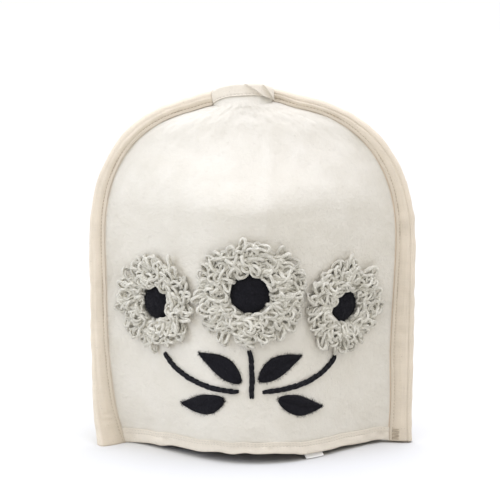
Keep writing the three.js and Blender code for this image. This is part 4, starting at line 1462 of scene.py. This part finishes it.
def yarn_loops(flower):
    """Loops of yarn rooted on a sunflower spiral. Each is a ring drawn out along its heading: its reach
    follows 1 plus the cosine, and its two strands part with the sine, of an angle that runs nearly a
    whole turn. It leans and rolls, bends sideways, and droops with the square of its reach."""
    rng = np.random.default_rng(flower.seed)
    count = flower.loops
    inner = flower.centre + LOOP_INNER
    rim = flower.radius - LOOP_RIM
    share = (np.arange(count) + 0.5) / count
    radius = np.sqrt(mix(inner**2, rim**2, share)) + rng.normal(0, LOOP_SCATTER, count)
    angle = np.arange(count) * GOLDEN_ANGLE + flower.turn + rng.normal(0, LOOP_SWING, count)
    rimward = smoothstep(*LOOP_RIMWARD, share)
    centreward = 1 - smoothstep(*LOOP_CENTREWARD, share)
    heading = angle + rng.normal(0, 1, count) * mix(*LOOP_STRAY, np.maximum(rimward, centreward))
    length = sewing().loop_length * rng.uniform(*LOOP_LENGTHS, count)
    tip = np.hypot(radius + length * np.cos(heading - angle), length * np.sin(heading - angle))
    heading = np.where(tip < flower.centre, heading + np.pi, heading)
    width = sewing().loop_width * rng.uniform(*LOOP_WIDTHS, count)
    lean = np.radians(mix(rng.uniform(*LOOP_LEANS, count), rng.uniform(*LOOP_RIM_LEANS, count), rimward))
    roll = np.radians(rng.uniform(-LOOP_ROLL, LOOP_ROLL, count))
    bend = rng.normal(0, LOOP_BEND, count)
    turn = np.linspace(-LOOP_TURN, LOOP_TURN, LOOP_STEPS)[None, :]
    reach = length[:, None] * (1 + np.cos(turn)) / 2
    part = width[:, None] / 2 * np.sin(turn) * (1 + LOOP_EGG * np.cos(turn))
    beyond = reach**2 / length[:, None]
    forward = reach * np.cos(lean)[:, None] + part * (np.sin(roll) * -np.sin(lean))[:, None]
    sideways = part * np.cos(roll)[:, None] + bend[:, None] * beyond
    height = reach * np.sin(lean)[:, None] + part * (np.sin(roll) * np.cos(lean))[:, None]
    height = np.maximum(height - LOOP_DROOP * beyond * np.sin(lean)[:, None], 0) + LOOP_ROOT
    cosine, sine = np.cos(heading)[:, None], np.sin(heading)[:, None]
    across = (radius * np.cos(angle))[:, None] + cosine * forward - sine * sideways
    up = (radius * np.sin(angle))[:, None] + sine * forward + cosine * sideways
    away = np.hypot(across, up)
    clear = np.maximum(away, flower.centre - LOOP_OVERLAP) / away
    paths = on_front(flower.across + across * clear, flower.height + up * clear, height)
    radii = sewing().yarn * rng.uniform(*YARN_RADII, (count, 1))
    radii = radii * (1 + YARN_UNEVEN * np.sin(2 * turn + 2 * np.pi * rng.uniform(0, 1, (count, 1))))
    binormals = np.cross(paths[:, LOOP_STEPS // 2] - paths[:, 0], paths[:, -1] - paths[:, 0])
    tone = np.repeat(rng.beta(*LOOP_TONES, count), LOOP_STEPS * STRAND_SIDES)
    return *strands(paths, radii, unit(binormals)), tone


def yarn_pad(flower):
    """The low lumpy pad under the loops: a ring from the felt centre to the rim, domed by a half sine."""
    share = np.linspace(0, 1, PAD_RINGS + 1)[:, None]
    angle = np.linspace(0, 2 * np.pi, PAD_STEPS, endpoint=False)[None, :]
    lump = soft_noise(flower.seed + FLOWER_PAD_SEED, (PAD_RINGS + 1, PAD_STEPS), PAD_LUMP_SIZES)
    radius = mix(flower.centre + PAD_INNER, flower.radius - PAD_RIM, share) + PAD_LUMP_ACROSS * lump
    rise = PAD_HEIGHT * np.sin(np.pi * mix(*PAD_ARC, share)) + PAD_LUMP_UP * lump
    across = flower.across + radius * np.cos(angle)
    up = flower.height + radius * np.sin(angle)
    top = on_front(across, up, PAD_LIFT + np.maximum(rise, PAD_LEAST)).reshape(-1, 3)
    base = on_front(across, up, np.full_like(rise, SEWN_BASE)).reshape(-1, 3)
    index = np.arange(len(top)).reshape(rise.shape)
    cells = grid_quads(np.concatenate([index, index[:, :1]], axis=1))
    points, quads = closed_pair(top, base, cells)
    # Painted shade: the pad is dark, standing in for the shade between the loops
    return points, quads, np.zeros((len(quads), 4, 2)), np.full(len(points), PAD_SHADE_TONE)


class COSY_OT_blooms(bpy.types.Operator):
    """Make the looped-yarn heads of the flowers"""

    bl_idname = "cosy.blooms"
    bl_label = "Yarn blooms"

    def execute(self, context):
        for flower in BLOOMS:
            points, quads, uv, tone = joined(yarn_pad(flower), yarn_loops(flower))
            piece = add_piece(f"yarn_bloom_{flower.name}", points, quads, "yarn", uv=uv, tone=tone)
            dress(piece, "yarn", f"bloom_{flower.name}")
        return {"FINISHED"}


CENTRE_CELLS = 40
CENTRE_RIM = 0.0018
CENTRE_LUMP = 0.00022
CENTRE_LUMP_SIZES = (1.6, 1.6)
CENTRE_LUMP_FADE = 6  # powers of the share of the radius
CENTRE_DOME_POWER = 3
CENTRE_ROLL_POWER = 14
CENTRE_LOBES = 5
CENTRE_LOBE_DEPTH = 0.018
CENTRE_RIPPLES = 9
CENTRE_RIPPLE_DEPTH = 0.012
CENTRE_FIBRES = 700
BLACK_FIBRE_LENGTH = 0.0024
BLACK_FIBRE_RADIUS = 0.0001
RIM_FIBRE_SHARE = 0.6  # of the fibres that stand on a piece's rim
SEWN_LEAST = 0.0002  # the least that a sewn felt piece rises off the panel


def disc_grid(cells):
    """A square grid bent into a round one, where each square ring becomes a circle."""
    line = np.linspace(-1, 1, cells + 1)
    a, b = np.meshgrid(line, line, indexing="ij")
    return a * np.sqrt(1 - b * b / 2), b * np.sqrt(1 - a * a / 2)


def sewn_slab(across, up, rise):
    """A low piece sewn on the front, closed between its top and the felt, and its rim's point numbers."""
    top = on_front(across, up, rise)
    base = on_front(across, up, np.full_like(rise, SEWN_BASE))
    index = np.arange(rise.size).reshape(rise.shape)
    points, quads = closed_pair(top.reshape(-1, 3), base.reshape(-1, 3), grid_quads(index))
    return points, quads, np.concatenate([index[0], index[-1], index[1:-1, 0], index[1:-1, -1]])


def black_hairs(points, quads, rim, count, seed):
    """Loose black fibres that stand on a slab's top and on its rim."""
    rng = np.random.default_rng(seed)
    normals = point_normals(points, quads)
    on_rim = int(count * RIM_FIBRE_SHARE)
    spread = np.concatenate([rng.integers(0, len(points) // 2, count - on_rim), rng.choice(rim, on_rim)])
    return fibres(points[spread], normals[spread], rng, BLACK_FIBRE_LENGTH, BLACK_FIBRE_RADIUS)


def felt_centre(flower):
    """A domed black felt centre with a wavy edge: the rise falls from the middle to the rim with the
    third power of the radius, and rolls over at the edge by the root of 1 less a high power of it."""
    a, b = disc_grid(CENTRE_CELLS)
    r = np.clip(np.hypot(a, b), 0, 1)
    way = np.arctan2(b, a)
    lump = soft_noise(flower.seed + FLOWER_CENTRE_SEED, a.shape, CENTRE_LUMP_SIZES)
    edge = 1 + CENTRE_LOBE_DEPTH * np.sin(CENTRE_LOBES * way + flower.seed)
    reach = flower.centre * (edge + CENTRE_RIPPLE_DEPTH * np.sin(CENTRE_RIPPLES * way))
    dome = mix(sewing().centre_height, CENTRE_RIM, r**CENTRE_DOME_POWER) * np.sqrt(1 - r**CENTRE_ROLL_POWER)
    rise = dome + CENTRE_LUMP * lump * (1 - r**CENTRE_LUMP_FADE) + SEWN_LEAST
    points, quads, rim = sewn_slab(flower.across + reach * a, flower.height + reach * b, rise)
    piece = add_piece(f"black_centre_{flower.name}", points, quads, "black_felt")
    dress(piece, "black_felt", f"felt_centre_{flower.name}")
    return black_hairs(points, quads, rim, CENTRE_FIBRES, flower.seed + FLOWER_FUZZ_SEED)


class COSY_OT_felt_centres(bpy.types.Operator):
    """Make the black felt centres of the flowers"""

    bl_idname = "cosy.felt_centres"
    bl_label = "Felt centres"

    def execute(self, context):
        strand_piece("centre_fuzz", [felt_centre(flower) for flower in BLOOMS], "black_felt", "black_felt")
        return {"FINISHED"}


LEAF_ROWS = 46
LEAF_COLUMNS = 18
LEAF_HEEL = 0.06  # shares of a half sine wave that a leaf's edge runs over
LEAF_TIP = 0.97
LEAF_SKEW = 0.8  # below 1 the leaf is widest before its middle
LEAF_BOW = 0.06  # of its length
LEAF_EDGE_POWER = 5  # the higher, the later its sides and its ends roll over
LEAF_END_POWER = 14
LEAF_LEAST = 0.05  # share of its height that the edge keeps
LEAF_LUMP = 0.00015
LEAF_LUMP_SIZES = (1.5, 1.2)
LEAF_VEIN = 0.0008
LEAF_VEIN_WIDTH = 0.0009
LEAF_FIBRES = 480


def felt_leaf(leaf):
    """A black felt leaf: its half width is a stretch of a sine wave along its length, its edges roll
    over and a needled vein runs down its middle."""
    heel, tip = np.array(leaf.heel), np.array(leaf.tip)
    length = np.linalg.norm(tip - heel)
    heading = (tip - heel) / length
    share = np.linspace(0, 1, LEAF_ROWS + 1)[:, None]
    side = np.linspace(-1, 1, LEAF_COLUMNS + 1)[None, :]
    lump = soft_noise(leaf.seed, (LEAF_ROWS + 1, LEAF_COLUMNS + 1), LEAF_LUMP_SIZES)
    half = leaf.width / 2 * np.sin(np.pi * mix(LEAF_HEEL, LEAF_TIP, share**LEAF_SKEW))
    bow = LEAF_BOW * length * np.sin(np.pi * share) * np.sign(heading[0] * heading[1])
    reach = side * half + bow
    across = heel[0] + heading[0] * length * share - heading[1] * reach
    up = heel[1] + heading[1] * length * share + heading[0] * reach
    rounded = np.sqrt(1 - np.abs(side) ** LEAF_EDGE_POWER)
    rounded = rounded * np.sqrt(1 - np.abs(2 * share - 1) ** LEAF_END_POWER)
    vein = LEAF_VEIN * bell(side * half, LEAF_VEIN_WIDTH) * np.sqrt(np.sin(np.pi * share))
    rise = sewing().leaf_height * np.maximum(rounded, LEAF_LEAST) + LEAF_LUMP * lump * rounded - vein
    points, quads, rim = sewn_slab(across, up, np.maximum(rise, SEWN_LEAST))
    piece = add_piece(f"black_leaf_{leaf.name}", points, quads, "black_felt")
    dress(piece, "black_felt", f"leaf_{leaf.name}")
    return black_hairs(points, quads, rim, LEAF_FIBRES, leaf.seed + LEAF_FUZZ_SEED)


class COSY_OT_leaves(bpy.types.Operator):
    """Make the black felt leaves"""

    bl_idname = "cosy.leaves"
    bl_label = "Leaves"

    def execute(self, context):
        strand_piece("leaf_fuzz", [felt_leaf(leaf) for leaf in LEAVES], "black_felt", "black_felt")
        return {"FINISHED"}


STEM_STEPS = 8
STEM_YARN = 0.0011
STEM_ADVANCE = 0.55  # share of a stitch by which the next one starts later
STEM_SLANT = 0.0011
STEM_ROWS = (-0.0009, 0.0009)
STEM_SCATTER = 0.0003  # spread of the stitches' starts
STEM_WANDER = 0.00012  # spread of their sideways places
STEM_PROBE = 0.0005  # a short step along the stem that shows its heading
STEM_LIFT = 0.15  # of the yarn's radius that a stitch's ends lie off the felt
STEM_ARCH_POWER = 0.6
STEM_ARCH_END = 1.02  # the arch comes down a little before the stitch's end
STEM_END = 0.55  # share of the radius that the ends keep


def stem_stitches(stem):
    """A stem of two rows of slanting stitches along a quadratic curve, each stitch starting beside the
    last one's middle and rising over it."""
    start, bend, end = (np.array(p) for p in (stem.start, stem.bend, stem.end))
    t = np.linspace(0, 1, PATH_SAMPLES)[:, None]
    curve = (1 - t) ** 2 * start + 2 * t * (1 - t) * bend + t * t * end
    length = path_length(curve)
    count = max(int(length[-1] / (sewing().stem_stitch * STEM_ADVANCE)) - 1, 2)
    span = length[-1] / (count - 1 + 1 / STEM_ADVANCE) / STEM_ADVANCE
    share = np.linspace(0, 1, STEM_STEPS)[None, :]

    def on_curve(at):
        return np.stack([np.interp(at, length, curve[:, k]) for k in range(2)], -1)

    lots = []
    for number, row in enumerate(STEM_ROWS):
        rng = np.random.default_rng(STEM_SEED + number)
        begins = (np.arange(count) * span * STEM_ADVANCE)[:, None] + rng.normal(0, STEM_SCATTER, (count, 1))
        at = np.clip(begins + span * share, 0, length[-1])
        heading = unit(on_curve(at + STEM_PROBE) - on_curve(at - STEM_PROBE))
        offset = row + STEM_SLANT * (share - 0.5) + rng.normal(0, STEM_WANDER, (count, 1))
        across = on_curve(at)[..., 0] - heading[..., 1] * offset
        up = on_curve(at)[..., 1] + heading[..., 0] * offset
        arch = np.sin(np.pi * np.clip(share * STEM_ARCH_END, 0, 1)) ** STEM_ARCH_POWER
        paths = on_front(across, up, np.broadcast_to(STEM_YARN * (STEM_LIFT + arch), across.shape))
        radii = STEM_YARN * np.broadcast_to(mix(STEM_END, 1, np.sqrt(np.sin(np.pi * share))), across.shape)
        first = across[:, 0], up[:, 0]
        normal = on_front(*first, np.full(count, PROBE)) - on_front(*first, np.zeros(count))
        lots.append(strands(paths, radii, np.cross(normal, paths[:, -1] - paths[:, 0])))
    return lots


class COSY_OT_stems(bpy.types.Operator):
    """Make the stitched black stems"""

    bl_idname = "cosy.stems"
    bl_label = "Stems"

    def execute(self, context):
        for stem in STEMS:
            lots = stem_stitches(stem)
            strand_piece(f"black_stem_{stem.name}", lots, "black_yarn", "black_felt", f"stem_{stem.name}")
        return {"FINISHED"}


# Tab in the hem

TAB_ACROSS = 0.0499
TAB_WIDTH = 0.017
TAB_THICKNESS = 0.0008
TAB_BEHIND = 0.00535  # from the felt's outer face to the tab's front
TAB_BOTTOM = 0.0005
TAB_TOP = 0.013
TAB_FREE = 0.45  # share of the tab that hangs below the hem's edge
TAB_ROWS = 24
TAB_COLUMNS = 16
TAB_CURL = 0.0052
TAB_WAVE = 0.15  # how much more it curls on one side than on the other
TAB_WAVE_RATE = 3
TAB_WAVE_START = 1
TAB_FOLD = 0.05  # share of the tab over which the fold at its foot rounds off
TAB_FOLD_CLOSED = 0.96


def hem_tab():
    """A folded white tab behind the front hem: a flat strip that hangs level, curls forward at its foot
    by a wave across its width, and closes there in a rounded fold."""
    left, middle, right = (on_front(TAB_ACROSS + TAB_WIDTH * k, EDGE_INSET, 0.0) for k in (-0.5, 0, 0.5))
    run = unit((right - left) * LEVEL)
    inward = np.array([-run[1], run[0], 0.0])
    side = np.linspace(-0.5, 0.5, TAB_COLUMNS + 1)[None, :]
    share = np.linspace(0, 1, TAB_ROWS + 1)[:, None]
    height = mix(TAB_BOTTOM, TAB_TOP, share)
    uneven = 1 + TAB_WAVE * np.sin(TAB_WAVE_RATE * side + TAB_WAVE_START)
    curl = TAB_CURL * np.clip(1 - share / TAB_FREE, 0, 1) * uneven
    closing = TAB_FOLD_CLOSED * (1 - np.clip(share / TAB_FOLD, 0, 1)) ** 2
    half = TAB_THICKNESS / 2 * np.sqrt(1 - closing)
    base = middle * LEVEL + run * (TAB_WIDTH * side)[..., None]
    faces = []
    for sign in (-1, 1):
        depth = TAB_BEHIND + TAB_THICKNESS / 2 - curl + sign * half
        faces.append(base + inward * depth[..., None] + UPWARD * height[..., None])
    uv = np.stack(np.broadcast_arrays(TAB_WIDTH * side, height), -1)
    piece = sheet_piece("white_tab", *faces, "tab", uv)
    dress(piece, "tab", "hem_tab")


class COSY_OT_hem_tab(bpy.types.Operator):
    """Make the blank tab caught in the front hem"""

    bl_idname = "cosy.hem_tab"
    bl_label = "Hem tab"

    def execute(self, context):
        hem_tab()
        return {"FINISHED"}


# Stage

FLOOR_SIZE = 14.0
FLOOR_CELLS = 8
CAMERA_REACH = 50.0
# Soft round lights: where each one is, what it faces, how wide it is and its colour
Lamp = namedtuple("Lamp", "name place aim size colour")
LAMPS = (
    Lamp("key", (0.3, -0.2, 2.3), (0.0, 0.0, 0.14), 1.6, (0.587, 0.653, 1.0)),
    Lamp("side", (-2.0, -0.7, 0.6), (0.0, 0.0, 0.14), 1.4, (0.706, 0.795, 1.0)),
)


def studio_floor():
    """A level square floor."""
    line = np.linspace(-FLOOR_SIZE / 2, FLOOR_SIZE / 2, FLOOR_CELLS + 1)
    x, y = np.meshgrid(line, line, indexing="ij")
    points = np.stack([x, y, np.zeros_like(x)], -1).reshape(-1, 3)
    return add_piece("floor", points, grid_quads(np.arange(x.size).reshape(x.shape))[:, ::-1], "floor")


def soft_light(lamp, power):
    """A round area light that faces its aim."""
    data = bpy.data.lights.new(lamp.name, "AREA")
    data.shape = "DISK"
    data.size = lamp.size
    data.energy = power
    data.color = lamp.colour
    light = bpy.data.objects.new(lamp.name, data)
    light.location = lamp.place
    light.rotation_euler = (Vector(lamp.aim) - Vector(lamp.place)).to_track_quat("-Z", "Y").to_euler()
    bpy.context.scene.collection.objects.link(light)


def studio_sky(stage):
    """A sky whose light goes from the horizon's to the zenith's with the height of its direction."""
    world = bpy.data.worlds.new("studio")
    world.use_nodes = True
    tree = world.node_tree
    height = ramp(tree, axes(tree, place(tree, "Generated"))["Z"], 0.0, 1.0)
    sky = blend_colour(tree, height, (*stage.horizon, 1.0), (*stage.zenith, 1.0))
    tree.links.new(sky, tree.nodes["Background"].inputs["Color"])
    return world


def studio_camera(stage):
    """A camera in front of the seam, pitched down from level and turned by its yaw."""
    camera = bpy.data.cameras.new("camera")
    camera.lens = stage.lens
    camera.clip_end = CAMERA_REACH
    holder = bpy.data.objects.new("camera", camera)
    holder.matrix_world = (
        Matrix.Translation((0.0, SEAM_PLANE - stage.camera_distance, stage.camera_height))
        @ Matrix.Rotation(stage.camera_yaw, 4, "Z")
        @ Matrix.Rotation(math.pi / 2 - stage.camera_pitch, 4, "X"))
    bpy.context.scene.collection.objects.link(holder)
    return holder


class COSY_OT_stage(bpy.types.Operator):
    """Make the floor, the lights and the camera"""

    bl_idname = "cosy.stage"
    bl_label = "Studio stage"

    def execute(self, context):
        scene = context.scene
        stage = scene.cosy_stage
        studio_floor()
        for lamp in LAMPS:
            soft_light(lamp, getattr(stage, f"{lamp.name}_power"))
        scene.world = studio_sky(stage)
        scene.view_settings.view_transform = "Standard"
        scene.camera = studio_camera(stage)
        return {"FINISHED"}


class COSY_PT_sidebar(bpy.types.Panel):
    """Lists the cosy's steps and sizes in the sidebar"""

    bl_idname = "COSY_PT_sidebar"
    bl_label = "French Press Cosy"
    bl_space_type = "VIEW_3D"
    bl_region_type = "UI"
    bl_category = "Cosy"

    def draw(self, context):
        for step in STEPS:
            self.layout.operator(step.bl_idname)
        for group, holder in GROUPS.items():
            box = self.layout.box()
            for name in group.__annotations__:
                box.prop(getattr(context.scene, holder), name)


GROUPS = {
    CosyShape: "cosy_shape",
    CosySewing: "cosy_sewing",
    CosyColours: "cosy_colours",
    CosyStage: "cosy_stage",
}
STEPS = (
    COSY_OT_stage, COSY_OT_felt_panels, COSY_OT_seam_bindings, COSY_OT_edge_bindings, COSY_OT_stitching,
    COSY_OT_blooms, COSY_OT_felt_centres, COSY_OT_leaves, COSY_OT_stems, COSY_OT_hem_tab,
)


def register():
    """Make the settings, the steps and the sidebar known to Blender."""
    for group, name in GROUPS.items():
        bpy.utils.register_class(group)
        setattr(bpy.types.Scene, name, PointerProperty(type=group))
    for step in STEPS:
        bpy.utils.register_class(step)
    bpy.utils.register_class(COSY_PT_sidebar)


def unregister():
    """Take them away again, in the opposite order."""
    bpy.utils.unregister_class(COSY_PT_sidebar)
    for step in reversed(STEPS):
        bpy.utils.unregister_class(step)
    for group, name in reversed(GROUPS.items()):
        delattr(bpy.types.Scene, name)
        bpy.utils.unregister_class(group)


def main():
    """Take every step in turn."""
    register()
    for step in STEPS:
        getattr(bpy.ops.cosy, step.bl_idname.split(".")[1])()
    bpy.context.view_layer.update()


if __name__ == "__main__":
    main()
